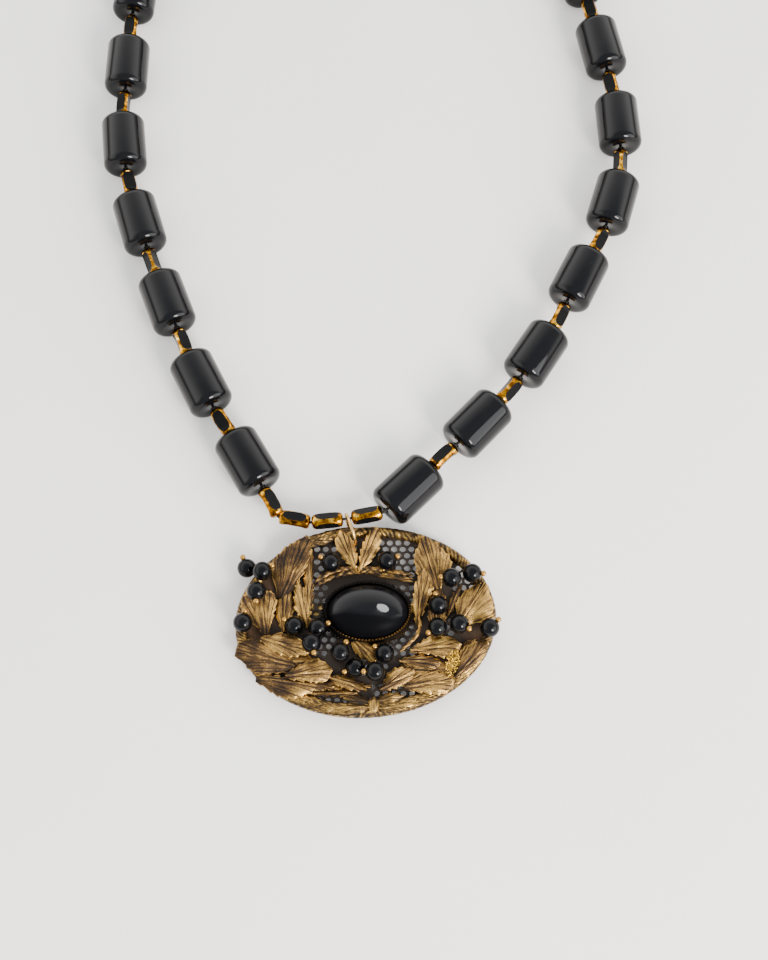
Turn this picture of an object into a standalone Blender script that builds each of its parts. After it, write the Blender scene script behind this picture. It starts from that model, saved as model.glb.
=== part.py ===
"""Brooch necklace: cylinder beads on a knotted string, with an oval leaf brooch on a jump ring.

Every length is in metres and +Z is up. The necklace lies flat on z = 0 as on a table, with the
brooch at its front, towards -Y, and the clasp at the back. The origin is the middle of its box.
"""
import math

import bmesh
import bpy
from mathutils import Vector

MM = 0.001

# String of beads
BEAD_DIAMETER = 12.0 * MM
BEAD_LENGTH = 16.2 * MM
BEAD_SHOULDER = 1.3 * MM      # rounding between a bead's side and its flat face
BEADS_RIGHT = 11
BEADS_LEFT = 10
BEAD_SIDES = 12
SPACER_DIAMETER = 4.2 * MM
SPACER_LENGTH = 8.1 * MM
SPACER_TAPER = 0.72           # width of a spacer's end as a share of its middle
SPACER_WINDOWS = 3            # ground flats round each spacer
FRONT_SPACERS_LEFT = 3
FRONT_SPACERS_RIGHT = 1
THREAD_DIAMETER = 0.8 * MM
THREAD_PLAY = 0.3 * MM        # between the thread and the wall of a hole
BEAD_JOINT = 0.75 * MM        # bare thread between a bead and a spacer
FRONT_JOINT = 1.15 * MM       # the same at the front right bead, where the string bends
SPACER_JOINT = 0.5 * MM       # bare thread between two spacers
RING_JOINT = 2.2 * MM         # bare thread at the jump ring
FRONT_DIP = 1.0 * MM          # how far the thread sinks between the two front beads

# Clasp at the back
CLASP_LENGTH = 14.0 * MM
CLASP_DIAMETER = 6.0 * MM
CLASP_SOCKET = 2.0 * MM       # depth of the hole that takes a thread end
CLASP_TAPER = 0.55            # width of the clasp's ends as a share of its barrel
CLASP_BARREL = 0.72           # length of the straight barrel as a share of the clasp

# Jump ring
RING_DIAMETER = 8.4 * MM      # through the middle of the wire
RING_WIRE = 0.8 * MM
RING_PLAY = 0.35 * MM
RING_HEADING = math.radians(-72)   # in plan, from the thread towards the brooch

# Brooch
BROOCH_LENGTH = 66.0 * MM
BROOCH_WIDTH = 49.6 * MM
OUTLINE_TILT = math.radians(4.1)
BROOCH_DROP = 1.95 * MM       # from the thread at the ring to the brooch's outline, along Y
BROOCH_ASIDE = 4.85 * MM      # from the thread at the ring to the brooch's middle, along X
BROOCH_LIFT = 2.2 * MM        # height of the plate's underside, on its pin
PLATE_THICKNESS = 0.8 * MM
SEAT = 0.3 * MM               # gap between pieces that touch on the real brooch
RIM_WIDTH = 3.0 * MM
RIM_HEIGHT = 2.2 * MM
RIM_FLAT = 1.2 * MM           # width of the rim's top between its bevels
RIM_SKIRT = 0.9 * MM          # width of the rim's wall outside the plate
HOLE_DIAMETER = 1.55 * MM
HOLE_PITCH = 2.2 * MM
HOLE_ROW = 1.71 * MM
HOLE_START = (1.72, 20.6)     # a hole's place on the drawing grid; the pattern spreads from it
LEAF_THICKNESS = 0.7 * MM
LEAF_CROWN = 0.55 * MM        # how far a leaf's middle stands above its edges
LEAF_FULLNESS = 0.75          # power of the sine that a leaf's width follows; less is fuller
LEAF_TIP = 0.09               # width of a leaf's ends as a share of its widest place
LEAF_STATIONS = 6             # cross-sections along a leaf
TWIG_DIAMETER = 1.0 * MM

# Stone and its setting
STONE_LENGTH = 20.2 * MM
STONE_WIDTH = 14.0 * MM
STONE_HEIGHT = 5.6 * MM
STONE_PLACE = (0.5, 1.7)      # its middle on the drawing grid
STONE_GIRDLE = 1.4 * MM       # height of the upright side below the dome
BEZEL_WALL = 0.4 * MM
BEZEL_FLARE = 0.5 * MM        # how far the foot of the setting spreads
BEZEL_HEIGHT = 2.2 * MM

# Berries
BERRY_DIAMETER = 4.9 * MM
HEADPIN_BALL = 1.5 * MM
HEADPIN_TILT = math.radians(18)
BERRY_POST = 1.0 * MM         # diameter of the wire below a berry that stands on the plate
ON_LEAVES, ON_POST, BESIDE_RIM = 0, 1, 2   # the ways in which a berry stands

# Pin on the back
PIN_LENGTH = 36.0 * MM
PIN_WIDTH = 3.0 * MM
PIN_BLOCK = 4.0 * MM          # length of the hinge and of the catch
PIN_BLOCK_WIDTH = 2.6 * MM
PIN_BAR = 0.8 * MM
PIN_STEM = 0.7 * MM
PIN_CLEAR = 0.1 * MM          # the stem's height above the table
PIN_PLACE = (0.0, 3.0)        # the bar's middle on the drawing grid

# Route of the string of beads in millimetres, from the jump ring up the right side, round the
# back and down the left side.
STRING_ROUTE = (
    (-5.5, -92.2), (3.2, -90.9), (9.0, -85.3), (27.8, -67.0), (44.6, -46.8),
    (57.2, -22.7), (68.4, 0.9), (70.7, 25.7), (66.8, 50.8), (61.8, 74.3),
    (56.0, 96.6), (43.0, 118.3), (22.0, 133.8), (-4.0, 140.1), (-29.6, 134.6),
    (-51.6, 118.0), (-64.7, 95.2), (-68.8, 70.4), (-69.8, 44.5), (-69.6, 18.2),
    (-63.5, -6.8), (-54.4, -31.6), (-44.4, -55.7), (-30.1, -78.3), (-26.5, -86.4),
    (-22.3, -92.2), (-14.1, -93.1),
)

# Drawing grid of the brooch: the tables below count its squares from the middle of the outline.
GRID_ACROSS = 66.0
GRID_UP = 49.6

# Leaves: node, base x and y, tip x and y, reach to the left and right of the vein, in squares;
# where the leaf is widest as a share of its length; height of base and tip above the plate's
# seat, as shares of the height that clears the rim. leaf_centre counts from the lowest point of
# the setting's foot, and the others from the middle of the brooch.
LEAVES = (
    ("leaf_pair_top", -1.0, 11.4, -5.9, 23.3, 2.2, 0.7, 0.55, 1.00, 1.36),
    ("leaf_pair_top", -2.0, 11.4, 2.7, 23.6, 0.9, 1.9, 0.55, 1.00, 1.36),
    ("leaves_left_upper", -20.8, 4.8, -14.9, 21.0, 5.2, 2.9, 0.55, 0.50, 1.50),
    ("leaves_left_upper", -14.4, 3.0, -14.2, 18.0, 1.5, 0.9, 0.55, 0.14, 0.86),
    ("leaves_left_upper", -14.8, -2.6, -16.3, 10.0, 2.3, 2.2, 0.55, 0.21, 0.57),
    ("leaves_left_upper", -20.8, 0.2, -20.3, 9.0, 1.8, 1.9, 0.50, 0.00, 0.36),
    ("leaf_fan_left", -25.2, -3.4, -27.3, 6.2, 4.0, 4.2, 0.75, 1.04, 1.14),
    ("leaf_fan_left", -28.6, 0.8, -30.0, 9.6, 1.6, 1.5, 0.50, 1.04, 1.14),
    ("leaves_left_lower", -26.2, -5.1, -14.6, -9.0, 2.3, 2.5, 0.50, 1.43, 0.86),
    ("leaves_left_lower", -17.9, -11.4, -32.6, -7.0, 4.6, 3.3, 0.60, 1.04, 1.36),
    ("leaves_foot_left", -20.0, -14.7, -8.5, -13.1, 3.1, 2.4, 0.60, 1.43, 1.14),
    ("leaves_foot_left", -25.0, -15.9, -5.4, -18.0, 1.4, 3.3, 0.42, 1.14, 1.07),
    ("leaves_foot_left", -9.0, -15.5, 0.4, -18.6, 1.9, 1.6, 0.50, 0.71, 0.50),
    ("leaf_centre", -3.5, -0.6, 1.4, -4.5, 1.9, 1.8, 0.50, 0.21, 0.21),
    ("leaves_right_upper", 19.0, 6.6, 14.7, 21.8, 4.1, 5.2, 0.52, 0.64, 1.50),
    ("leaves_right_upper", 13.5, -2.2, 15.0, 12.6, 1.5, 2.1, 0.58, 0.21, 1.07),
    ("leaves_right_upper", 19.8, -3.0, 17.8, 9.0, 2.1, 2.1, 0.55, 0.00, 0.36),
    ("leaf_fan_right", 25.4, -0.8, 31.0, 8.8, 4.5, 3.7, 0.55, 0.71, 1.36),
    ("leaves_right_lower", 11.0, -8.7, 23.9, -6.8, 2.8, 2.6, 0.52, 0.64, 1.00),
    ("leaves_right_lower", 21.0, -15.4, 22.4, -7.8, 2.0, 2.2, 0.50, 0.86, 0.86),
    ("leaves_right_lower", 22.4, -15.0, 30.4, -6.4, 3.4, 1.7, 0.50, 1.04, 1.14),
    ("leaves_right_lower", 8.4, -10.8, 18.8, -11.6, 2.0, 2.4, 0.50, 0.21, 0.64),
    ("leaves_right_lower", 3.6, -18.3, 12.2, -13.2, 3.0, 2.1, 0.50, 0.57, 0.86),
    ("leaves_right_lower", 9.8, -17.4, 21.8, -15.9, 2.5, 2.6, 0.55, 1.04, 1.14),
)

# Twigs: node, height of the middle above the plate's seat in twig diameters, and points along it
# in squares.
TWIGS = (
    ("twig_arch", 0.5, ((-12.2, 9.4), (-9.3, 11.3), (-4.6, 12.6), (0.0, 12.8),
                        (5.0, 12.3), (11.6, 10.9))),
    ("twig_arch", 0.5, ((-12.3, 8.0), (-9.0, 10.2), (-4.6, 11.7), (0.0, 12.4),
                        (5.0, 11.4), (11.6, 9.6))),
    ("leaves_right_upper", 0.6, ((13.6, -1.0), (13.4, -3.0), (12.4, -5.0), (8.9, -8.4))),
)

# Berries: x and y of the middle, heading of the headpin in degrees, height of the underside
# above the plate's seat in berry diameters, and how it stands. One beside the rim is listed at
# the place of the outline that it stands against. Squares.
BERRIES = (
    (-28.3, 11.9, 112, -0.445, 2), (-26.2, 11.7, 25, 0.30, 0), (-27.4, 6.0, 272, 0.58, 0),
    (-30.7, -1.7, 80, 0.30, 0), (-17.9, -2.2, 150, 0.0, 0), (-12.0, -2.7, 20, 0.0, 0),
    (-13.4, -7.2, 285, 0.56, 1), (-8.9, 14.4, 155, 0.0, 0), (5.4, 14.9, 18, 0.0, 0),
    (-6.2, -9.6, 60, 0.50, 1), (-2.6, -12.9, 205, 0.0, 0), (2.4, -14.3, 185, 0.45, 1),
    (4.7, -9.3, 148, 0.06, 0), (21.6, 9.6, 182, 0.56, 0), (26.9, 11.2, 352, 0.30, 0),
    (18.2, 2.7, 105, 0.36, 0), (17.9, -3.0, 215, 0.36, 1), (23.4, -2.2, 328, 0.42, 1),
    (31.0, -3.0, 40, 0.30, 0),
)

# Windows of the pierced plate that the leaves leave open: x and y of the middle, half width,
# half height. Squares.
WINDOWS = (
    (8.3, 16.4, 4.7, 4.9), (-10.6, 15.6, 2.6, 5.0), (-12.2, 4.6, 1.4, 4.6),
    (9.6, 7.6, 2.4, 1.6), (25.0, 11.8, 3.2, 4.2), (-18.0, 0.2, 2.2, 1.2),
    (-9.6, -6.0, 3.0, 4.0), (9.0, -5.6, 4.0, 4.0), (-9.5, -20.2, 5.4, 2.4),
    (7.0, -19.0, 5.4, 2.0),
)

seat_height = BROOCH_LIFT + PLATE_THICKNESS + SEAT
bead_radius = BEAD_DIAMETER / 2
thread_radius = THREAD_DIAMETER / 2
bead_bore = thread_radius + THREAD_PLAY
ring_heading = Vector((math.cos(RING_HEADING), math.sin(RING_HEADING), 0))
rim_top = BROOCH_LIFT + RIM_HEIGHT
over_rim = rim_top + SEAT - seat_height


def clear_scene():
    """Remove every object, so that the file holds only the necklace."""
    for item in list(bpy.data.objects):
        bpy.data.objects.remove(item, do_unlink=True)


def make_material(name, colour, roughness, metallic):
    """A Principled material of one plain colour."""
    material = bpy.data.materials.new(name)
    material.use_nodes = True
    shader = material.node_tree.nodes["Principled BSDF"]
    shader.inputs["Base Color"].default_value = (*colour, 1)
    shader.inputs["Roughness"].default_value = roughness
    shader.inputs["Metallic"].default_value = metallic
    return material


def add_mesh(name, points, faces, finish, smooth=True):
    """Make one object from points and faces, with its faces turned outwards."""
    mesh = bpy.data.meshes.new(name)
    mesh.from_pydata([tuple(p) for p in points], [], faces)
    shape = bmesh.new()
    shape.from_mesh(mesh)
    bmesh.ops.recalc_face_normals(shape, faces=shape.faces)
    shape.to_mesh(mesh)
    shape.free()
    if smooth:
        mesh.shade_smooth()
        mesh.set_sharp_from_angle(angle=math.radians(40))
    item = bpy.data.objects.new(name, mesh)
    bpy.context.scene.collection.objects.link(item)
    mesh.materials.append(make_material(name, *finish))
    return item


def skin_rings(rings, closed=False):
    """Faces between rings of equal size; a row that isn't closed gets a cap at each end."""
    count = len(rings[0])
    points = [p for ring in rings for p in ring]
    faces = []
    last = len(rings) if closed else len(rings) - 1
    for row in range(last):
        here, there = row * count, (row + 1) % len(rings) * count
        for k in range(count):
            n = (k + 1) % count
            faces.append((here + k, here + n, there + n, there + k))
    if not closed:
        faces.append(tuple(range(count))[::-1])
        faces.append(tuple(len(points) - count + k for k in range(count)))
    return points, faces


def unite(name, parts):
    """Join solids that overlap into one by Boolean unions, and keep the first under its name."""
    body = parts[0]
    for extra in parts[1:]:
        extra.hide_render = True
        extra.display_type = "WIRE"
        joint = body.modifiers.new("Join " + extra.name, "BOOLEAN")
        joint.operation = "UNION"
        joint.object = extra
    body.name = name
    return body


def frame_along(direction):
    """Two unit vectors square to a direction: one level, one as near upright as it can be."""
    side = Vector((-direction.y, direction.x, 0)).normalized()
    return side, direction.cross(side) * -1


def ring_round(centre, direction, radii):
    """One ring of points square to a direction, a radius for each."""
    side, up = frame_along(direction)
    if up.z < 0:
        up = -up
    count = len(radii)
    points = []
    for k, radius in enumerate(radii):
        angle = 2 * math.pi * k / count
        points.append(centre + (side * math.cos(angle) + up * math.sin(angle)) * radius)
    return points


def catmull(points, closed, per_span):
    """A smooth curve through the points, with a few more points in each span."""
    count = len(points)
    curve = []
    for k in range(count if closed else count - 1):
        near = [points[(k + d) % count] if closed else points[min(max(k + d, 0), count - 1)]
                for d in (-1, 0, 1, 2)]
        for step in range(per_span):
            t = step / per_span
            curve.append(0.5 * (2 * near[1] + (near[2] - near[0]) * t
                                + (2 * near[0] - 5 * near[1] + 4 * near[2] - near[3]) * t * t
                                + (3 * near[1] - near[0] - 3 * near[2] + near[3]) * t ** 3))
    if not closed:
        curve.append(points[-1].copy())
    return curve


def string_pieces():
    """What is on the string from the jump ring round to it again: kind and length of each."""
    row = [("gap", RING_JOINT / 2)]
    for k in range(FRONT_SPACERS_RIGHT):
        row += [("spacer", SPACER_LENGTH),
                ("gap", SPACER_JOINT if k < FRONT_SPACERS_RIGHT - 1 else FRONT_JOINT)]
    for _ in range(BEADS_RIGHT):
        row += [("bead", BEAD_LENGTH), ("gap", BEAD_JOINT), ("spacer", SPACER_LENGTH),
                ("gap", BEAD_JOINT)]
    row += [("clasp", CLASP_LENGTH), ("gap", BEAD_JOINT)]
    for _ in range(BEADS_LEFT):
        row += [("spacer", SPACER_LENGTH), ("gap", BEAD_JOINT), ("bead", BEAD_LENGTH),
                ("gap", BEAD_JOINT)]
    for k in range(FRONT_SPACERS_LEFT):
        row += [("spacer", SPACER_LENGTH)]
        if k < FRONT_SPACERS_LEFT - 1:
            row += [("gap", SPACER_JOINT)]
    return row + [("gap", RING_JOINT / 2)]


def lay_string():
    """Where each piece of the string starts and ends, as the loop lies on the table."""
    row = string_pieces()
    needed = sum(length for _, length in row)
    start = Vector(STRING_ROUTE[0]) * MM
    loop = catmull([Vector(p) * MM for p in STRING_ROUTE], True, 24)
    loop.append(loop[0].copy())
    reach = [0.0]
    for a, b in zip(loop, loop[1:]):
        reach.append(reach[-1] + (b - a).length)
    stretch = needed / reach[-1]
    first_bead = next(k for k, piece in enumerate(row) if piece[0] == "bead")
    last_bead = max(k for k, piece in enumerate(row) if piece[0] == "bead")
    front_right = sum(length for _, length in row[:first_bead])
    front_left = sum(length for _, length in row[last_bead + 1:])

    def spot(along):
        """The thread's place at a length along the loop."""
        want = min(max(along / stretch, 0.0), reach[-1])
        k = min(max(sum(1 for r in reach if r <= want) - 1, 0), len(loop) - 2)
        share = (want - reach[k]) / (reach[k + 1] - reach[k])
        flat = start + (loop[k].lerp(loop[k + 1], share) - start) * stretch
        front = along - needed if along > needed / 2 else along
        sink = 0.0
        if -front_left < front < front_right:
            sink = math.sin(math.pi * (front + front_left) / (front_left + front_right))
        return Vector((flat.x, flat.y, bead_radius - FRONT_DIP * sink))

    placed, along = [], 0.0
    for kind, length in row:
        if kind != "gap":
            placed.append((kind, spot(along), spot(along + length)))
        along += length
    return placed


def set_length(start, end, length):
    """The middle of a span, its direction, and its ends moved to an exact length."""
    middle = (start + end) / 2
    direction = (end - start).normalized()
    return middle, direction, middle - direction * length / 2, middle + direction * length / 2


def make_bead(number, start, end):
    """A drilled glass cylinder with rounded shoulders."""
    middle, direction, _, _ = set_length(start, end, BEAD_LENGTH)
    half = BEAD_LENGTH / 2
    face = bead_radius - BEAD_SHOULDER
    round_off = BEAD_SHOULDER * (1 - math.sqrt(0.5))
    profile = []
    for sign in (-1, 1):
        end_rows = [(bead_bore, half), (face, half), (bead_radius - round_off, half - round_off),
                    (bead_radius, half - BEAD_SHOULDER)]
        profile += [(r, sign * h) for r, h in (end_rows if sign < 0 else end_rows[::-1])]
    rings = [ring_round(middle + direction * h, direction, [r] * BEAD_SIDES) for r, h in profile]
    points, faces = skin_rings(rings, closed=True)
    return add_mesh(f"bead_{number:02d}", points, faces, ((0.004, 0.004, 0.005), 0.06, 0.0))


def make_strand(placed):
    """The thread and the spacers on it, lofted as one body from clasp end to clasp end."""
    clasp_at = next(k for k, piece in enumerate(placed) if piece[0] == "clasp")
    _, _, clasp_a, clasp_b = set_length(placed[clasp_at][1], placed[clasp_at][2], CLASP_LENGTH)
    toward = (clasp_b - clasp_a).normalized()
    order = placed[clasp_at + 1:] + placed[:clasp_at]
    depth = CLASP_SOCKET - SEAT
    sides = 2 * SPACER_WINDOWS
    thin = [thread_radius] * sides
    blunt = [SPACER_DIAMETER * SPACER_TAPER / 2] * sides
    full = [SPACER_DIAMETER / 2] * sides
    rings = [ring_round(clasp_b - toward * depth, toward, thin),
             ring_round(clasp_b, toward, thin)]
    for kind, start, end in order:
        length = BEAD_LENGTH if kind == "bead" else SPACER_LENGTH
        middle, direction, tail, head = set_length(start, end, length)
        if kind == "bead":
            rings += [ring_round(tail, direction, thin), ring_round(head, direction, thin)]
        else:
            rings += [ring_round(tail, direction, thin), ring_round(tail, direction, blunt),
                      ring_round(middle, direction, full),
                      ring_round(head, direction, blunt), ring_round(head, direction, thin)]
    rings += [ring_round(clasp_a, toward, thin), ring_round(clasp_a + toward * depth, toward, thin)]
    points, faces = skin_rings(rings)
    return add_mesh("strand", points, faces, ((0.25, 0.13, 0.02), 0.25, 0.8))


def make_clasp(placed):
    """A plain barrel clasp with a socket at each end for the thread."""
    tail, head = next((a, b) for kind, a, b in placed if kind == "clasp")
    middle, direction, _, _ = set_length(tail, head, CLASP_LENGTH)
    half, wide = CLASP_LENGTH / 2, CLASP_DIAMETER / 2
    end, straight = wide * CLASP_TAPER, half * CLASP_BARREL
    profile = [(bead_bore, -half), (end, -half), (wide, -straight), (wide, straight),
               (end, half), (bead_bore, half)]
    rings = [ring_round(middle + direction * h, direction, [r] * BEAD_SIDES)
             for r, h in [(bead_bore, CLASP_SOCKET - half)] + profile
             + [(bead_bore, half - CLASP_SOCKET)]]
    points, faces = skin_rings(rings)
    return add_mesh("clasp", points, faces, ((0.40, 0.26, 0.10), 0.35, 1.0))


def ring_place(placed):
    """The jump ring's middle: its far side hugs the thread from outside."""
    first, last = placed[0][1], placed[-1][2]
    thread = (first + last) / 2
    radius = RING_DIAMETER / 2
    reach = radius - RING_WIRE / 2 - thread_radius - RING_PLAY
    centre = thread + ring_heading * reach
    centre.z = radius + RING_WIRE / 2 + SEAT
    return centre, thread


def make_jump_ring(centre):
    """A round wire ring that stands on edge, through the slot and round the thread."""
    rings = []
    count, sides = 18, 6
    for k in range(count):
        turn = 2 * math.pi * k / count
        out = ring_heading * math.cos(turn) + Vector((0, 0, 1)) * math.sin(turn)
        across = Vector((-ring_heading.y, ring_heading.x, 0))
        hub = centre + out * RING_DIAMETER / 2
        rings.append([hub + (out * math.cos(a) + across * math.sin(a)) * RING_WIRE / 2
                      for a in (2 * math.pi * s / sides for s in range(sides))])
    points, faces = skin_rings(rings, closed=True)
    return add_mesh("jump_ring", points, faces, ((0.75, 0.55, 0.28), 0.25, 1.0))


def oval(half_length, half_width, count, centre, height, tilt=0.0):
    """Points round an oval at one height."""
    points = []
    for k in range(count):
        a = 2 * math.pi * k / count
        x, y = half_length * math.cos(a), half_width * math.sin(a)
        points.append(Vector((centre.x + x * math.cos(tilt) - y * math.sin(tilt),
                              centre.y + x * math.sin(tilt) + y * math.cos(tilt), height)))
    return points


def on_grid(start, x, y, height=0.0):
    """A place on the drawing grid, counted from a start, with its height above the plate's seat."""
    return Vector((start.x + x * BROOCH_LENGTH / GRID_ACROSS, start.y + y * BROOCH_WIDTH / GRID_UP,
                   seat_height + height))


def inside_outline(centre, point, margin):
    """Whether a point lies inside the outline by more than a margin."""
    x, y = point.x - centre.x, point.y - centre.y
    along = x * math.cos(OUTLINE_TILT) + y * math.sin(OUTLINE_TILT)
    across = -x * math.sin(OUTLINE_TILT) + y * math.cos(OUTLINE_TILT)
    return math.hypot(along / (BROOCH_LENGTH / 2 - margin),
                      across / (BROOCH_WIDTH / 2 - margin)) < 1


def beside_outline(centre, point, distance):
    """A point moved to stand at a distance outside the outline, square to it, at its own height."""
    x, y = point.x - centre.x, point.y - centre.y
    c, s = math.cos(OUTLINE_TILT), math.sin(OUTLINE_TILT)
    turn = math.atan2((y * c - x * s) / BROOCH_WIDTH, (x * c + y * s) / BROOCH_LENGTH)
    foot = Vector((BROOCH_LENGTH / 2 * math.cos(turn), BROOCH_WIDTH / 2 * math.sin(turn)))
    out = Vector((math.cos(turn) / BROOCH_LENGTH, math.sin(turn) / BROOCH_WIDTH)).normalized()
    spot = foot + out * distance
    return Vector((centre.x + spot.x * c - spot.y * s, centre.y + spot.x * s + spot.y * c, point.z))


def outline_top(x):
    """How far the outline stands above the brooch's middle, at a distance to the middle's right."""
    long, wide = (BROOCH_LENGTH / 2) ** -2, (BROOCH_WIDTH / 2) ** -2
    c, s = math.cos(OUTLINE_TILT), math.sin(OUTLINE_TILT)
    square = s * s * long + c * c * wide
    linear = 2 * x * c * s * (long - wide)
    rest = x * x * (c * c * long + s * s * wide) - 1
    return (math.sqrt(linear * linear - 4 * square * rest) - linear) / (2 * square)


def make_rim(centre):
    """The raised rim: a half-round band with a skirt down round the plate's edge."""
    low, top = BROOCH_LIFT, rim_top
    seat = seat_height
    bevel = (RIM_WIDTH - RIM_FLAT) / 2
    profile = [(0.0, low), (0.0, top - bevel), (bevel, top), (bevel + RIM_FLAT, top),
               (RIM_WIDTH, seat), (RIM_SKIRT, seat), (RIM_SKIRT, low)]
    rings = [oval(BROOCH_LENGTH / 2 - inset, BROOCH_WIDTH / 2 - inset, 44, centre, z, OUTLINE_TILT)
             for inset, z in profile]
    points, faces = skin_rings(rings, closed=True)
    return add_mesh("rim", points, faces, ((0.20, 0.13, 0.05), 0.45, 1.0))


def hole_places(centre, slot, stone):
    """Middles of the plate's round holes: a staggered pattern, kept where it shows."""
    places = []
    rows = int(BROOCH_WIDTH / HOLE_ROW) + 1
    columns = int(BROOCH_LENGTH / HOLE_PITCH)
    first = on_grid(centre, *HOLE_START)
    for row in range(rows):
        for column in range(-columns, columns):
            point = Vector((first.x + (column + 0.5 * (row % 2)) * HOLE_PITCH,
                            first.y - row * HOLE_ROW))
            gx = (point.x - centre.x) * GRID_ACROSS / BROOCH_LENGTH
            gy = (point.y - centre.y) * GRID_UP / BROOCH_WIDTH
            shown = any(abs(gx - wx) < w and abs(gy - wy) < h for wx, wy, w, h in WINDOWS)
            off_slot = (point - slot.xy).length > 2 * HOLE_DIAMETER
            off_stone = math.hypot((point.x - stone.x) / (STONE_LENGTH + HOLE_DIAMETER),
                                   (point.y - stone.y) / (STONE_WIDTH + HOLE_DIAMETER)) > 0.5
            if shown and off_slot and off_stone and inside_outline(centre, point, RIM_WIDTH):
                places.append(point)
    return places


def prism(centre, radius, sides, low, high, turn=0.0, stretch=1.0, heading=None):
    """Points and faces of an upright prism, which may be drawn out along a heading."""
    along = heading if heading else Vector((1, 0, 0))
    across = Vector((-along.y, along.x, 0))
    rings = []
    for z in (low, high):
        ring = []
        for k in range(sides):
            a = 2 * math.pi * k / sides + turn
            spread = math.copysign(stretch, math.cos(a)) if abs(math.cos(a)) > 1e-6 else 0.0
            flat = along * (math.cos(a) * radius + spread) + across * math.sin(a) * radius
            ring.append(Vector((centre.x + flat.x, centre.y + flat.y, z)))
        rings.append(ring)
    return skin_rings(rings)


def ring_slot(ring_centre):
    """Middle and half length of the slot that the jump ring needs through the plate."""
    radius = RING_DIAMETER / 2
    low, high = BROOCH_LIFT - SEAT, BROOCH_LIFT + PLATE_THICKNESS + SEAT
    inner = math.sqrt((radius - RING_WIRE / 2) ** 2 - (ring_centre.z - low) ** 2)
    outer = math.sqrt((radius + RING_WIRE / 2) ** 2 - (ring_centre.z - high) ** 2)
    middle = ring_centre + ring_heading * (inner + outer) / 2
    return middle, (outer - inner) / 2 + SEAT / 2


def make_plate(centre, ring_centre, stone):
    """The pierced plate: a flat oval with a staggered field of round holes and a slot."""
    inset = RIM_SKIRT + SEAT
    low, high = BROOCH_LIFT, BROOCH_LIFT + PLATE_THICKNESS
    rings = [oval(BROOCH_LENGTH / 2 - inset, BROOCH_WIDTH / 2 - inset, 44, centre, z, OUTLINE_TILT)
             for z in (low, high)]
    points, faces = skin_rings(rings)
    plate = add_mesh("back_plate", points, faces, ((0.12, 0.08, 0.04), 0.5, 1.0), smooth=False)
    slot, half = ring_slot(ring_centre)
    width = RING_WIRE / 2 + RING_PLAY
    all_points, all_faces = prism(slot, width, 8, low - SEAT, high + SEAT, math.pi / 8,
                                  half - width / 2, ring_heading)
    for place in hole_places(centre, slot, stone):
        more, extra = prism(place, HOLE_DIAMETER / 2, 6, low - SEAT, high + SEAT, math.pi / 6, 0.0)
        shift = len(all_points)
        all_points += more
        all_faces += [tuple(i + shift for i in face) for face in extra]
    cutter = add_mesh("plate_holes", all_points, all_faces, ((0.5, 0.5, 0.5), 0.5, 0.0), False)
    cutter.hide_render = True
    cutter.display_type = "WIRE"
    cut = plate.modifiers.new("Holes", "BOOLEAN")
    cut.operation = "DIFFERENCE"
    cut.object = cutter
    return plate


def make_leaf(name, centre, row):
    """One stamped leaf: a thin arched blade along its middle vein."""
    _, bx, by, tx, ty, left, right, widest, base_rise, tip_rise = row
    base, tip = on_grid(centre, bx, by), on_grid(centre, tx, ty)
    unit = math.sqrt(BROOCH_LENGTH / GRID_ACROSS * BROOCH_WIDTH / GRID_UP)
    along = (tip - base).normalized()
    side = Vector((-along.y, along.x, 0))
    power = math.log(0.5) / math.log(widest)
    rings = []
    for k in range(LEAF_STATIONS):
        t = k / (LEAF_STATIONS - 1)
        swell = max(math.sin(math.pi * min(t ** power, 1.0)) ** LEAF_FULLNESS, LEAF_TIP)
        level = seat_height + (base_rise + (tip_rise - base_rise) * t) * over_rim
        middle = base.lerp(tip, t)
        rib = level + LEAF_CROWN * swell
        edge_left = middle + side * left * unit * swell
        edge_right = middle - side * right * unit * swell
        rings.append([
            Vector((edge_left.x, edge_left.y, level)), Vector((middle.x, middle.y, rib)),
            Vector((edge_right.x, edge_right.y, level)),
            Vector((edge_right.x, edge_right.y, level + LEAF_THICKNESS)),
            Vector((middle.x, middle.y, rib + LEAF_THICKNESS)),
            Vector((edge_left.x, edge_left.y, level + LEAF_THICKNESS))])
    points, faces = skin_rings(rings)
    return add_mesh(name, points, faces, ((0.30, 0.19, 0.08), 0.42, 1.0))


def make_twig(name, centre, row):
    """One round twig along its points."""
    _, rise, route = row
    curve = catmull([on_grid(centre, x, y, rise * TWIG_DIAMETER) for x, y in route], False, 2)
    rings = []
    for k, point in enumerate(curve):
        ahead = curve[min(k + 1, len(curve) - 1)] - curve[max(k - 1, 0)]
        rings.append(ring_round(point, ahead.normalized(), [TWIG_DIAMETER / 2] * 6))
    points, faces = skin_rings(rings)
    return add_mesh(name, points, faces, ((0.28, 0.18, 0.08), 0.45, 1.0))


def make_foliage(centre, stone):
    """Leaves and twigs, with those of one node soldered into one body."""
    foot = stone - Vector((0, STONE_WIDTH / 2 + SEAT + BEZEL_WALL + BEZEL_FLARE, 0))
    groups = {}
    for row in LEAVES:
        group = groups.setdefault(row[0], [])
        start = foot if row[0] == "leaf_centre" else centre
        group.append(make_leaf(f"{row[0]}_{len(group)}", start, row))
    for row in TWIGS:
        group = groups.setdefault(row[0], [])
        group.append(make_twig(f"{row[0]}_{len(group)}", centre, row))
    for name, parts in groups.items():
        unite(name, parts)


def make_ball(name, centre, radius, segments, bands, finish):
    """A round ball of rings and segments."""
    shape = bmesh.new()
    bmesh.ops.create_uvsphere(shape, u_segments=segments, v_segments=bands, radius=radius)
    bmesh.ops.translate(shape, vec=centre, verts=shape.verts)
    points = [v.co.copy() for v in shape.verts]
    faces = [tuple(v.index for v in face.verts) for face in shape.faces]
    shape.free()
    return add_mesh(name, points, faces, finish)


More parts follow.
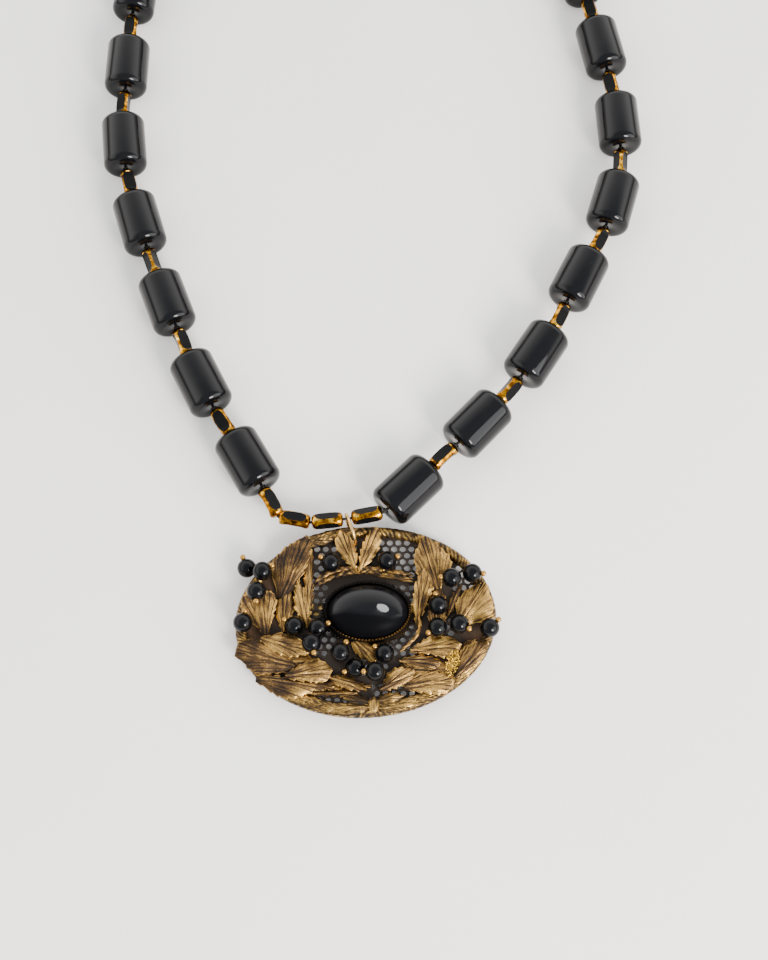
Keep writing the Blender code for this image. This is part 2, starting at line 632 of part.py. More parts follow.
def make_berry(number, centre, row):
    """A glass berry on its brass headpin, with the wire below it where it stands on the plate."""
    x, y, heading, rise, stand = row
    radius = BERRY_DIAMETER / 2
    finish = ((0.004, 0.004, 0.005), 0.05, 0.0)
    middle = on_grid(centre, x, y, rise * BERRY_DIAMETER + radius)
    if stand == BESIDE_RIM:
        middle = beside_outline(centre, middle, radius + SEAT)
    name = f"berry_{number:02d}"
    body = make_ball(name, middle, radius, 10, 5, finish)
    turn = math.radians(heading)
    out = Vector((math.cos(turn) * math.cos(HEADPIN_TILT), math.sin(turn) * math.cos(HEADPIN_TILT),
                  math.sin(HEADPIN_TILT)))
    knob = middle + out * (radius + HEADPIN_BALL / 3)
    parts = [body, make_ball(name + "_ball", knob, HEADPIN_BALL / 2, 6, 4, finish)]
    if stand == ON_POST:
        points, faces = prism(middle, BERRY_POST / 2, 6, seat_height, middle.z, 0.0, 0.0)
        parts.append(add_mesh(name + "_post", points, faces, finish))
    return unite(name, parts)


def make_stone(stone):
    """The oval cabochon: an upright girdle and a dome over it."""
    sides, bands = 24, 4
    rings = [oval(STONE_LENGTH / 2, STONE_WIDTH / 2, sides, stone, seat_height)]
    for k in range(bands):
        a = math.pi / 2 * k / bands
        rings.append(oval(STONE_LENGTH / 2 * math.cos(a), STONE_WIDTH / 2 * math.cos(a), sides,
                          stone, seat_height + STONE_GIRDLE
                          + (STONE_HEIGHT - STONE_GIRDLE) * math.sin(a)))
    points, faces = skin_rings(rings)
    faces.pop()
    top = len(points)
    points.append(Vector((stone.x, stone.y, seat_height + STONE_HEIGHT)))
    last = top - sides
    faces += [(last + k, last + (k + 1) % sides, top) for k in range(sides)]
    return add_mesh("cabochon", points, faces, ((0.005, 0.005, 0.006), 0.04, 0.0))


def make_bezel(stone):
    """The setting: an oval collar that spreads at its foot and closes in on the stone."""
    inner_long, inner_wide = STONE_LENGTH / 2 + SEAT, STONE_WIDTH / 2 + SEAT
    rows = ((BEZEL_WALL + BEZEL_FLARE, 0.0), (BEZEL_WALL, BEZEL_HEIGHT - BEZEL_WALL),
            (BEZEL_WALL, BEZEL_HEIGHT), (0.0, BEZEL_HEIGHT), (0.0, 0.0))
    rings = [oval(inner_long + out, inner_wide + out, 32, stone, seat_height + rise)
             for out, rise in rows]
    points, faces = skin_rings(rings, closed=True)
    return add_mesh("bezel", points, faces, ((0.25, 0.17, 0.07), 0.4, 1.0))


def make_pin(centre):
    """The plain pin on the back: a bar with a block at each end and a stem between."""
    half, top = PIN_LENGTH / 2, BROOCH_LIFT - SEAT
    finish = ((0.25, 0.17, 0.07), 0.4, 1.0)
    spot = on_grid(centre, *PIN_PLACE)

    def box(name, x0, x1, wide, z0, z1):
        """An upright box along the bar."""
        flat = [(x0, -wide / 2), (x1, -wide / 2), (x1, wide / 2), (x0, wide / 2)]
        rings = [[Vector((spot.x + x, spot.y + y, z)) for x, y in flat] for z in (z0, z1)]
        points, faces = skin_rings(rings)
        return add_mesh(name, points, faces, finish, smooth=False)

    parts = [box("brooch_pin", -half, half, PIN_WIDTH, top - PIN_BAR, top),
             box("pin_hinge", -half, PIN_BLOCK - half, PIN_BLOCK_WIDTH, 0.0, top - PIN_BAR / 2),
             box("pin_catch", half - PIN_BLOCK, half, PIN_BLOCK_WIDTH, 0.0, top - PIN_BAR / 2),
             box("pin_stem", -half + PIN_BLOCK / 2, half - PIN_BLOCK / 2, PIN_STEM,
                 PIN_CLEAR, PIN_CLEAR + PIN_STEM)]
    return unite("brooch_pin", parts)


def build():
    """Make the whole necklace."""
    clear_scene()
    placed = lay_string()
    beads = [piece for piece in placed if piece[0] == "bead"]
    for number, (_, start, end) in enumerate(beads, 1):
        make_bead(number, start, end)
    make_strand(placed)
    make_clasp(placed)
    ring_centre, thread = ring_place(placed)
    make_jump_ring(ring_centre)
    centre = Vector((thread.x + BROOCH_ASIDE, thread.y - BROOCH_DROP - outline_top(-BROOCH_ASIDE), 0))
    stone = on_grid(centre, *STONE_PLACE)
    make_rim(centre)
    make_plate(centre, ring_centre, stone)
    make_bezel(stone)
    make_stone(stone)
    make_foliage(centre, stone)
    for number, row in enumerate(BERRIES, 1):
        make_berry(number, centre, row)
    make_pin(centre)


build()
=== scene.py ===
# %% [markdown]
# # A brooch necklace of black glass and antiqued brass
# The necklace is a loop of black glass cylinder beads with small gilt spacers between them. An oval
# leaf brooch hangs at the front from a jump ring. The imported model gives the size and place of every
# piece, so each form below is made round what it measures, in metres, with +Z up.

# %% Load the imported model
import math
import random

import bmesh
import bpy
import numpy as np
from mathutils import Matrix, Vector, noise


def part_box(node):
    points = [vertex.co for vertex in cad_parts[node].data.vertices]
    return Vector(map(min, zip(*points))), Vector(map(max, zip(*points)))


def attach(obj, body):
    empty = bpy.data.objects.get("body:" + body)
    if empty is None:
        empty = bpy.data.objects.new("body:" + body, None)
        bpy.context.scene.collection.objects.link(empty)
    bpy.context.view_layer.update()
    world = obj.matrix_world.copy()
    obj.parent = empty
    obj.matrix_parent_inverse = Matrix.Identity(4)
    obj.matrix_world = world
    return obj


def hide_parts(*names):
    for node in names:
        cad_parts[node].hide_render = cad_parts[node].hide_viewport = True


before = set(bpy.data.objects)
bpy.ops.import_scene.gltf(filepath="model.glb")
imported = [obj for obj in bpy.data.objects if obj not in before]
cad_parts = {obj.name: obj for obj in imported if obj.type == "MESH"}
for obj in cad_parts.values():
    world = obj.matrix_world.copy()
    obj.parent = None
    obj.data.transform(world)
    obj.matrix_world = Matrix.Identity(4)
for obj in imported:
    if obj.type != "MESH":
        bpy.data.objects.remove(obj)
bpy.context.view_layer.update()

MM = 0.001

# %% [markdown]
# ## The camera
# The photo was taken from above and a little from the front, about 70 degrees over the table. The lens
# and place below were fitted to the round berries, the oval brooch and the spacing of the beads.

# %% Camera
EYE = Vector((3.95, -222.0, 387.7)) * MM
camera = bpy.data.objects.new("camera", bpy.data.cameras.new("camera"))
bpy.context.scene.collection.objects.link(camera)
camera.location = EYE
camera.rotation_euler = (math.radians(20.155), 0, 0)
camera.data.lens = 58.86
camera.data.sensor_width = 36
camera.data.clip_start = 0.01
bpy.context.scene.camera = camera
print("camera height in mm:", round(EYE.z / MM))

# %% [markdown]
# ## Helpers for finishes
# Colours are written as the hex values that a paint chart gives, and one function turns them to the
# linear values that Blender works with. A second one adds a node with its settings and links, so a
# finish reads as a list of steps. Sizes of patterns are given in millimetres. Several finishes have one
# fine grain that their colour, gloss and relief all follow, and one function makes those.

# %% Colour, node and pattern helpers
def linear(code):
    """The linear colour of an sRGB hex value."""
    parts = [int(code[k:k + 2], 16) / 255 for k in (1, 3, 5)]
    return tuple(c / 12.92 if c <= 0.04045 else ((c + 0.055) / 1.055) ** 2.4 for c in parts) + (1.0,)


def put(tree, socket, value):
    """Link an output to a socket, or set the socket to a value."""
    if isinstance(value, bpy.types.NodeSocket):
        tree.links.new(value, socket)
    else:
        socket.default_value = value


def add(tree, kind, inputs=(), stops=(), out=0, **options):
    """Add one node and return an output of it: options are its own settings, inputs are values or
    outputs to link, and stops are the places and colours of a ramp."""
    made = tree.nodes.new("ShaderNode" + kind)
    for name, value in options.items():
        setattr(made, name, value)
    for name, value in dict(inputs).items():
        put(tree, made.inputs[name], value)
    for k, (place, colour) in enumerate(stops):
        elements = made.color_ramp.elements
        stop = elements[k] if k < 2 else elements.new(place)
        stop.position, stop.color = place, linear(colour)
    return made.outputs[out]


def per_mm(size):
    """The scale of a pattern whose features are a size in millimetres apart."""
    return 1 / (size * MM)


def new_finish(name):
    """A new material and its node tree."""
    material = bpy.data.materials.new(name)
    material.use_nodes = True
    return material, material.node_tree


def dress(material, **values):
    """Give a material's shader its values: outputs to link, or numbers that are the same all over."""
    tree = material.node_tree
    for name, value in values.items():
        put(tree, tree.nodes["Principled BSDF"].inputs[name.replace("_", " ")], value)
    return material


def grained(name, size, detail, stops, gloss, relief=None, crumble=0.5, span=(0.0, 1.0), **values):
    """A finish whose colour, gloss and relief follow one noise, with its size in millimetres."""
    material, tree = new_finish(name)
    place = add(tree, "TexCoord", out="Object")
    grain = add(tree, "TexNoise", {"Vector": place, "Scale": per_mm(size), "Detail": detail,
                                   "Roughness": crumble})
    if relief:
        values["Normal"] = add(tree, "Bump", {"Height": grain, "Strength": relief[0],
                                              "Distance": relief[1] * MM})
    values["Base_Color"] = add(tree, "ValToRGB", {"Fac": grain}, stops)
    values["Roughness"] = add(tree, "MapRange", {"Value": grain, "From Min": span[0], "From Max": span[1],
                                                 "To Min": gloss[0], "To Max": gloss[1]})
    return dress(material, **values)


print("brass ridge, linear:", [round(c, 3) for c in linear("#CFA356")])

# %% [markdown]
# ## Helpers for pieces
# Most pieces are skins over rows of points: a bead is a profile turned round its axis, and a leaf is a
# sheet of rows across its vein. One function makes the faces between rows. Another makes the object,
# hands it its finishes, stores marks on its points, and hides the imported node that it stands in for. A
# mark is a number on each point that a finish can read. The brass reads four: how high a ridge stands
# there, the count of veins, the millimetres from the base, and a tone from dark to golden.

# %% Mesh helpers
MARKS = ("ridge", "grain", "far", "tone")


def skin(rows, columns, round_rows=False, round_columns=True):
    """Faces between rows of points that follow each other."""
    faces = []
    for r in range(rows if round_rows else rows - 1):
        here, there = r * columns, (r + 1) % rows * columns
        for c in range(columns if round_columns else columns - 1):
            n = (c + 1) % columns
            faces.append((here + c, here + n, there + n, there + c))
    return faces


def ends(count, last):
    """The two faces that close a tube, over its first ring of points and over its last."""
    return [tuple(range(count)), tuple(range(last, last + count))]


def fan(ring, count, hub):
    """Faces from a ring of points to one point in its middle."""
    return [(ring + k, ring + (k + 1) % count, hub) for k in range(count)]


def spokes(count):
    """Cosine and sine of evenly spaced turns."""
    turns = [2 * math.pi * k / count for k in range(count)]
    return [(math.cos(turn), math.sin(turn)) for turn in turns]


def even_marks(points, ridge=0.6, tone=0.0):
    """The same marks on every point."""
    return [(ridge, 0.0, 0.0, tone)] * len(points)


def merge(parts):
    """Several lots of points and faces as one, and the lists that come with them end to end."""
    points, faces, lists = [], [], [[] for _ in parts[0][2:]]
    for part in parts:
        faces += [tuple(i + len(points) for i in face) for face in part[1]]
        points += part[0]
        for whole, more in zip(lists, part[2:]):
            whole += more
    return points, faces, *lists


def make_piece(name, points, faces, finishes, node, which=None, marks=(),
               names=MARKS, sharp=40, sheet=0.0):
    """One object of the necklace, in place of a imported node. A sheet is open and gets a thickness."""
    mesh = bpy.data.meshes.new(name)
    mesh.from_pydata([tuple(p) for p in points], [], faces)
    for material in finishes:
        mesh.materials.append(material)
    if which:
        mesh.polygons.foreach_set("material_index", which)
    for mark, values in zip(names, zip(*marks)):
        mesh.attributes.new(mark, "FLOAT", "POINT").data.foreach_set("value", values)
    if not sheet:
        shape = bmesh.new()
        shape.from_mesh(mesh)
        bmesh.ops.recalc_face_normals(shape, faces=shape.faces)
        shape.to_mesh(mesh)
        shape.free()
    mesh.shade_smooth()
    mesh.set_sharp_from_angle(angle=math.radians(sharp))
    piece = bpy.data.objects.new(name, mesh)
    bpy.context.scene.collection.objects.link(piece)
    if sheet:
        added = piece.modifiers.new("Thickness of the sheet", "SOLIDIFY")
        added.thickness, added.offset = sheet, -1
    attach(piece, "root")
    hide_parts(node)
    return piece


def middle_of(node):
    """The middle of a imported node's box."""
    low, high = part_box(node)
    return (low + high) / 2


def axes_along(direction):
    """Two unit vectors square to a direction: one level, and one as near upright as it can be."""
    side = Vector((-direction.y, direction.x, 0)).normalized()
    up = side.cross(direction)
    return side, up if up.z > 0 else -up


def turned(profile, middle, direction, sides):
    """Points of a profile of (radius, place along the axis) turned round an axis."""
    side, up = axes_along(direction)
    return [middle + direction * along + (side * c + up * s) * radius
            for radius, along in profile for c, s in spokes(sides)]


def column_faces(sides):
    """Faces of a closed column between two rings of points."""
    return skin(2, sides) + [tuple(range(sides))[::-1], tuple(range(sides, 2 * sides))]


def column(middle, half_x, half_y, low, high, sides):
    """Points and faces of an upright oval column."""
    return [Vector((middle.x + half_x * c, middle.y + half_y * s, z))
            for z in (low, high) for c, s in spokes(sides)], column_faces(sides)


def ball(middle, radius, sides, bands):
    """Points and faces of a ball."""
    points = [middle + Vector((0, 0, -radius))]
    for band in range(1, bands):
        a = math.pi * band / bands - math.pi / 2
        points += [middle + Vector((math.cos(a) * c, math.cos(a) * s, math.sin(a))) * radius
                   for c, s in spokes(sides)]
    points.append(middle + Vector((0, 0, radius)))
    top = len(points) - 1
    faces = [tuple(i + 1 for i in face) for face in skin(bands - 1, sides)]
    for k in range(sides):
        n = (k + 1) % sides
        faces += [(0, 1 + n, 1 + k), (top, top - sides + k, top - sides + n)]
    return points, faces


def catmull(points, per_span, closed=False):
    """A smooth curve through points, with a few more in each span."""
    count, curve = len(points), []
    for k in range(count if closed else count - 1):
        p = [points[(k + d) % count] if closed else points[min(max(k + d, 0), count - 1)]
             for d in (-1, 0, 1, 2)]
        for step in range(per_span):
            t = step / per_span
            curve.append(0.5 * (2 * p[1] + (p[2] - p[0]) * t + (2 * p[0] - 5 * p[1] + 4 * p[2] - p[3]) * t * t
                                + (3 * p[1] - p[0] - 3 * p[2] + p[3]) * t ** 3))
    return curve if closed else curve + [points[-1].copy()]


def tube(curve, sides, radius_at):
    """Points and faces of a tube along a curve. The function given finds the radius from the number of
    the point on the curve, the point, the length so far and the number of the side."""
    points, along = [], 0.0
    for k, point in enumerate(curve):
        before = curve[max(k - 1, 0)]
        side, up = axes_along((curve[min(k + 1, len(curve) - 1)] - before).normalized())
        along += (point - before).length
        points += [point + (side * c + up * s) * radius_at(k, point, along, number)
                   for number, (c, s) in enumerate(spokes(sides))]
    return points, skin(len(curve), sides) + ends(sides, len(points) - sides)


def curve_through(places, values, at):
    """Values of a smooth curve through a short table."""
    places, values, at = (np.asarray(row, float) for row in (places, values, at))
    slope = np.gradient(values, places)
    k = np.clip(np.searchsorted(places, at, side="right") - 1, 0, len(places) - 2)
    gap = places[k + 1] - places[k]
    t = (at - places[k]) / gap
    return ((2 * t ** 3 - 3 * t ** 2 + 1) * values[k] + (t ** 3 - 2 * t ** 2 + t) * gap * slope[k]
            + (3 * t ** 2 - 2 * t ** 3) * values[k + 1] + (t ** 3 - t ** 2) * gap * slope[k + 1])


print("faces of a small tube:", len(skin(4, 12)))

# %% [markdown]
# ## Black glass
# The beads, berries and stone are pressed black glass, fire-polished until it shines. It looks black
# because hardly any light gets through, so all that the eye sees is what it mirrors. A plain glossy
# black would look like plastic, so handling marks change the gloss a little over a few millimetres,
# dust leaves pale specks, and the surface waves very slightly as pressed glass does. The stone is
# scuffed round its edge and on its lower half, and there it mirrors next to nothing.

# %% Polished black glass
GLASS_IOR = 1.52


def black_glass(name, gloss, smear, wave, shine, scuffed=False):
    """Pressed and fire-polished black glass, with smears and a little dust."""
    material, tree = new_finish(name)
    place = add(tree, "TexCoord", out="Object")
    smears = add(tree, "TexNoise", {"Vector": place, "Scale": per_mm(5), "Detail": 5.0, "Roughness": 0.6})
    dust = add(tree, "TexVoronoi", {"Vector": place, "Scale": per_mm(0.9)}, feature="F1")
    speck = add(tree, "ValToRGB", {"Fac": dust}, [(0.0, "#6E6E70"), (0.075, "#0A0A0B")])
    patch = add(tree, "ValToRGB", {"Fac": smears}, [(0.52, "#08080A"), (0.68, "#FFFFFF")])
    tint = add(tree, "Mix", {0: patch, 6: linear("#08080A"), 7: speck}, out=2, data_type="RGBA")
    rough = add(tree, "MapRange", {"Value": smears, "From Min": 0.35, "From Max": 0.75,
                                   "To Min": gloss, "To Max": smear})
    bump = add(tree, "Bump", {"Height": smears, "Strength": wave, "Distance": 0.3 * MM})
    if scuffed:
        scuff = add(tree, "Attribute", out="Fac", attribute_name="scuff")
        rough = add(tree, "Math", {0: scuff, 1: 0.30, 2: rough}, operation="MULTIPLY_ADD")
        shine = add(tree, "Math", {0: scuff, 1: -0.95 * shine, 2: shine}, operation="MULTIPLY_ADD")
    return dress(material, IOR=GLASS_IOR, Specular_IOR_Level=shine, Base_Color=tint, Roughness=rough,
                 Normal=bump)


bead_glass = black_glass("pressed_black_glass_bead", 0.05, 0.16, 0.04, 0.18)
berry_glass = black_glass("lampworked_black_glass_berry", 0.06, 0.14, 0.03, 0.13)
stone_glass = black_glass("polished_black_glass_stone", 0.03, 0.07, 0.08, 0.18, scuffed=True)
print("glass finishes:", bead_glass.name, berry_glass.name, stone_glass.name)

# %% [markdown]
# ## How the string lies
# The beads follow the thread, so the thread's route comes first: the same chosen points and the same
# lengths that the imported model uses. A smooth loop goes through the points, and each bead and spacer
# takes its two ends on it, one after the other, with a bit of bare thread between them.

# %% Route of the string
BEAD_DIAMETER, BEAD_LENGTH = 12.0 * MM, 16.2 * MM
SPACER_DIAMETER, SPACER_LENGTH = 4.2 * MM, 8.1 * MM
CLASP_LENGTH = 14.0 * MM
BEAD_JOINT, FRONT_JOINT, SPACER_JOINT, RING_JOINT = 0.75 * MM, 1.15 * MM, 0.5 * MM, 2.2 * MM
FRONT_DIP = 1.0 * MM            # how far the thread sinks between the first beads, at the ring
BEADS_RIGHT, BEADS_LEFT, FRONT_SPACERS_LEFT = 11, 10, 3
STRING_ROUTE = (
    (-5.5, -92.2), (3.2, -90.9), (9.0, -85.3), (27.8, -67.0), (44.6, -46.8),
    (57.2, -22.7), (68.4, 0.9), (70.7, 25.7), (66.8, 50.8), (61.8, 74.3),
    (56.0, 96.6), (43.0, 118.3), (22.0, 133.8), (-4.0, 140.1), (-29.6, 134.6),
    (-51.6, 118.0), (-64.7, 95.2), (-68.8, 70.4), (-69.8, 44.5), (-69.6, 18.2),
    (-63.5, -6.8), (-54.4, -31.6), (-44.4, -55.7), (-30.1, -78.3), (-26.5, -86.4),
    (-22.3, -92.2), (-14.1, -93.1),
)


def string_row():
    """What is on the string from the jump ring round to it again: kind and length of each."""
    bead, spacer, gap = ("bead", BEAD_LENGTH), ("spacer", SPACER_LENGTH), ("gap", BEAD_JOINT)
    row = [("gap", RING_JOINT / 2), spacer, ("gap", FRONT_JOINT)] + [bead, gap, spacer, gap] * BEADS_RIGHT
    row += [("clasp", CLASP_LENGTH), gap] + [spacer, gap, bead, gap] * BEADS_LEFT
    row += [spacer, ("gap", SPACER_JOINT)] * FRONT_SPACERS_LEFT
    return row[:-1] + [("gap", RING_JOINT / 2)]


def lay_string():
    """Kind, middle and direction of each piece on the string as the loop lies, and its length."""
    row = string_row()
    needed = sum(length for _, length in row)
    loop = catmull([Vector(p) * MM for p in STRING_ROUTE], 24, closed=True)
    loop.append(loop[0].copy())
    reach = np.concatenate([[0.0], np.cumsum([(b - a).length for a, b in zip(loop, loop[1:])])])
    stretch = needed / reach[-1]
    beads = [k for k, piece in enumerate(row) if piece[0] == "bead"]
    front_right = sum(length for _, length in row[:beads[0]])
    front_left = sum(length for _, length in row[beads[-1] + 1:])

    def spot(along):
        """The thread's place at a length along the loop."""
        x, y = (np.interp(along / stretch, reach, [p[axis] for p in loop]) for axis in (0, 1))
        front = along - needed if along > needed / 2 else along
        sink = 0.0
        if -front_left < front < front_right:
            sink = math.sin(math.pi * (front + front_left) / (front_left + front_right))
        flat = loop[0] + (Vector((x, y)) - loop[0]) * stretch
        return Vector((flat.x, flat.y, BEAD_DIAMETER / 2 - FRONT_DIP * sink))

    placed, along = [], 0.0
    for kind, length in row:
        if kind != "gap":
            a, b = spot(along), spot(along + length)
            placed.append((kind, (a + b) / 2, (b - a).normalized()))
        along += length
    return placed, needed


placed, string_length = lay_string()
beads = [piece for piece in placed if piece[0] == "bead"]
spacers = [piece for piece in placed if piece[0] == "spacer"]
print("string in mm:", round(string_length / MM, 1), "beads", len(beads), "spacers", len(spacers))
print("first bead off the packed one by mm:", round((beads[0][1] - middle_of("bead_01")).length / MM, 3))

# %% [markdown]
# ## Beads
# A pressed bead comes out of its mould as a straight cylinder with soft shoulders, drilled through.
# A lathe profile gives that form exactly: the wall of the hole, a small countersink where the thread
# rubs, the flat face, the quarter-round shoulder and the side. It is turned round the bead's axis.

# %% Glass beads
BEAD_SHOULDER = 2.0 * MM
BORE = 0.7 * MM                 # radius of the hole
COUNTERSINK = 0.25 * MM
BEAD_SIDES, SHOULDER_STEPS = 72, 8


def bead_profile():
    """Radius and height of one end of a bead, from its hole outwards."""
    half, radius = BEAD_LENGTH / 2, BEAD_DIAMETER / 2
    rows = [(BORE, half - 3 * COUNTERSINK), (BORE, half - COUNTERSINK), (BORE + COUNTERSINK, half)]
    for k in range(SHOULDER_STEPS + 1):
        a = math.pi / 2 * k / SHOULDER_STEPS
        rows.append((radius - BEAD_SHOULDER * (1 - math.sin(a)), half - BEAD_SHOULDER * (1 - math.cos(a))))
    return rows


one_end = bead_profile()
profile = [(r, -h) for r, h in one_end] + [(r, h) for r, h in one_end[::-1]]
for number, (_, middle, direction) in enumerate(beads, 1):
    name = f"bead_{number:02d}"
    make_piece("glass_" + name, turned(profile, middle, direction, BEAD_SIDES),
               skin(len(profile), BEAD_SIDES, round_rows=True), [bead_glass], name, sharp=50)
print("points in a bead:", len(profile) * BEAD_SIDES)

# %% [markdown]
# ## Gilt spacers
# Each spacer is a small barrel of black glass that was coated with a gold lustre and then ground flat
# on three sides, so dark windows show in a gold skin. The grinding wheel takes the gold off wherever
# the flat cuts into the barrel. The mesh does the same: at each station the three flats are as wide as
# the barrel's radius lets them be, and the faces inside a flat get the ground finish.

# %% Lustre and ground window
# Gold lustre fired on glass is thin, bright and patchy over a millimetre or two, and darker where worn.
lustre = grained("fired_gold_lustre", 1.6, 6.0,
                 [(0.36, "#1E0E02"), (0.46, "#7A4C05"), (0.56, "#C48912"), (0.68, "#FFD970")],
                 (0.30, 0.14), (0.6, 0.12), crumble=0.65, span=(0.3, 0.7), Metallic=1.0)
# Ground glass is dark with a soft sheen. Grit marks are about 0.03 mm, drawn at 0.15 mm so that they show.
window = grained("ground_black_glass_window", 0.15, 3.0, [(0.3, "#060607"), (0.8, "#141415")],
                 (0.12, 0.30), IOR=GLASS_IOR, Specular_IOR_Level=0.05)
print("spacer finishes:", lustre.name, window.name)

# %% [markdown]
# Each spacer has turned on the thread as it liked. The first row of angles below is read off the photo
# for those that show, from the jump ring up the right side, and the second for the left side down to
# the ring. A turn of 0 degrees has a window facing straight up, and 60 has a gilt ridge on top.

# %% Spacers
# Each pair is the turn in degrees and the depth of the flats, from the spacer's axis, in millimetres.
TURNS_RIGHT = ((40, 1.55), (20, 1.5), (65, 1.5), (85, 1.5), (85, 1.5), (62, 1.4), (30, 1.45), (8, 1.5),
               (95, 1.5), (50, 1.5), (15, 1.5), (70, 1.5))
TURNS_LEFT = ((10, 1.5), (48, 1.5), (80, 1.5), (25, 1.5), (-10, 1.45), (86, 1.35), (16, 1.3), (60, 1.35),
              (35, 1.35), (-20, 1.4), (24, 1.5), (14, 1.66), (38, 1.55))
STATIONS, PART = 49, 8          # rows along a spacer, and points across a flat or a ridge
SPACER_CORNER = 0.75 * MM
NARROW_FLAT = 0.04              # half the angle kept for a flat where the wheel doesn't reach


def spacer_radius(along):
    """The barrel's radius at a place along it, with a small round-off at each end."""
    share = abs(along) / (SPACER_LENGTH / 2)
    radius = SPACER_DIAMETER / 2 * (1 - 0.20 * share ** 3)
    short = SPACER_CORNER - (SPACER_LENGTH / 2 - abs(along))
    if short > 0:
        radius -= SPACER_CORNER - math.sqrt(max(SPACER_CORNER ** 2 - short ** 2, 0))
    return radius


def ground_depth(along, depth):
    """How far the flat is from the axis: the wheel cuts a little less towards the ends."""
    share = abs(along) / (SPACER_LENGTH / 2)
    return depth + (SPACER_DIAMETER / 2 - depth) * (share / 0.84) ** 5


def make_spacer(middle, direction, turn, deepest):
    """Points, faces and finishes of one spacer."""
    side, up = axes_along(direction)
    places = [SPACER_LENGTH * (station / (STATIONS - 1) - 0.5) for station in range(STATIONS)]
    sizes = [(spacer_radius(along), ground_depth(along, deepest)) for along in places]
    cut = [radius > depth * 1.002 for radius, depth in sizes]
    points, which, columns = [], [], 6 * PART
    for station, (radius, depth) in enumerate(sizes):
        spread = math.acos(depth / radius) if cut[station] else NARROW_FLAT
        for third in range(3):
            for k in range(2 * PART):
                if k < PART:
                    a = -spread + 2 * spread * k / PART
                else:
                    a = spread + (2 * math.pi / 3 - 2 * spread) * (k - PART) / PART
                reach = depth / math.cos(a) if cut[station] and k < PART else radius
                a += third * 2 * math.pi / 3 + math.radians(turn)
                points.append(middle + direction * places[station]
                              + (up * math.cos(a) + side * math.sin(a)) * reach)
                which.append(1 if k < PART and all(cut[station:station + 2]) else 0)
    which = which[:-columns] + [0] * 2 * columns
    faces = skin(STATIONS, columns)
    for station in (0, STATIONS - 1):
        points.append(middle + direction * places[station])
        faces += fan(station * columns, columns, len(points) - 1)
    return points, faces, which


points, faces, which = merge([make_spacer(middle, direction, turn, depth * MM) for (_, middle, direction),
                              (turn, depth) in zip(spacers, TURNS_RIGHT + TURNS_LEFT)])
make_piece("gilt_spacers", points, faces, [lustre, window], "strand", which, sharp=28)
print("spacers:", len(spacers), "faces:", len(faces))

# %% [markdown]
# ## Thread
# The thread is a dark two-ply cord. Only a millimetre shows at each joint, but there its twist can be
# seen, so its section is two lobes that turn as they go along, rather than a plain tube.

# %% Thread
THREAD_RADIUS = 0.4 * MM
PLY_TURN = 2.4 * MM             # length of one full turn of the twist
THREAD_SIDES = 10
# Waxed black thread is soft, dark and fibrous. Its fibres are about 0.02 mm thick, drawn at 0.25 mm so
# that they show.
waxed_thread = grained("waxed_two_ply_thread", 0.25, 4.0, [(0.3, "#0B0908"), (0.75, "#2C241D")],
                       (0.5, 0.75), (0.5, 0.05), IOR=1.5)


def two_ply(number, point, along, side):
    """The thread's radius: two lobes that turn as they go along."""
    turn = 2 * math.pi * side / THREAD_SIDES - 2 * math.pi * along / PLY_TURN
    return THREAD_RADIUS * (0.8 + 0.2 * abs(math.cos(turn)))


def make_thread():
    """The thread through every piece on the string, open at the clasp."""
    clasp_at = next(k for k, piece in enumerate(placed) if piece[0] == "clasp")
    _, clasp, way = placed[clasp_at]
    inside = way * (CLASP_LENGTH / 2 - 1.5 * MM)
    knots = [clasp + inside]
    for kind, middle, direction in placed[clasp_at + 1:] + placed[:clasp_at]:
        half = direction * 0.45 * (BEAD_LENGTH if kind == "bead" else SPACER_LENGTH)
        knots += [middle - half, middle + half]
    points, faces = tube(catmull(knots + [clasp - inside], 12), THREAD_SIDES, two_ply)
    return make_piece("thread", points, faces, [waxed_thread], "strand")


thread = make_thread()
print("thread points:", len(thread.data.vertices))

# %% [markdown]
# ## Antiqued brass
# The brooch is stamped brass that was dipped in a darkening bath and then rubbed with a cloth. The bath
# turns all of it dark brown, and the cloth brings the metal back on the ridges, so the recesses stay
# dark. The finish reads the mark called ridge from the mesh, blurs its limit with noise, and picks a
# colour between the bath's brown and bare brass. The marks called grain and far count the veins and the
# millimetres from the leaf's base, so the die's fine lines run along the veins as they do in wood.

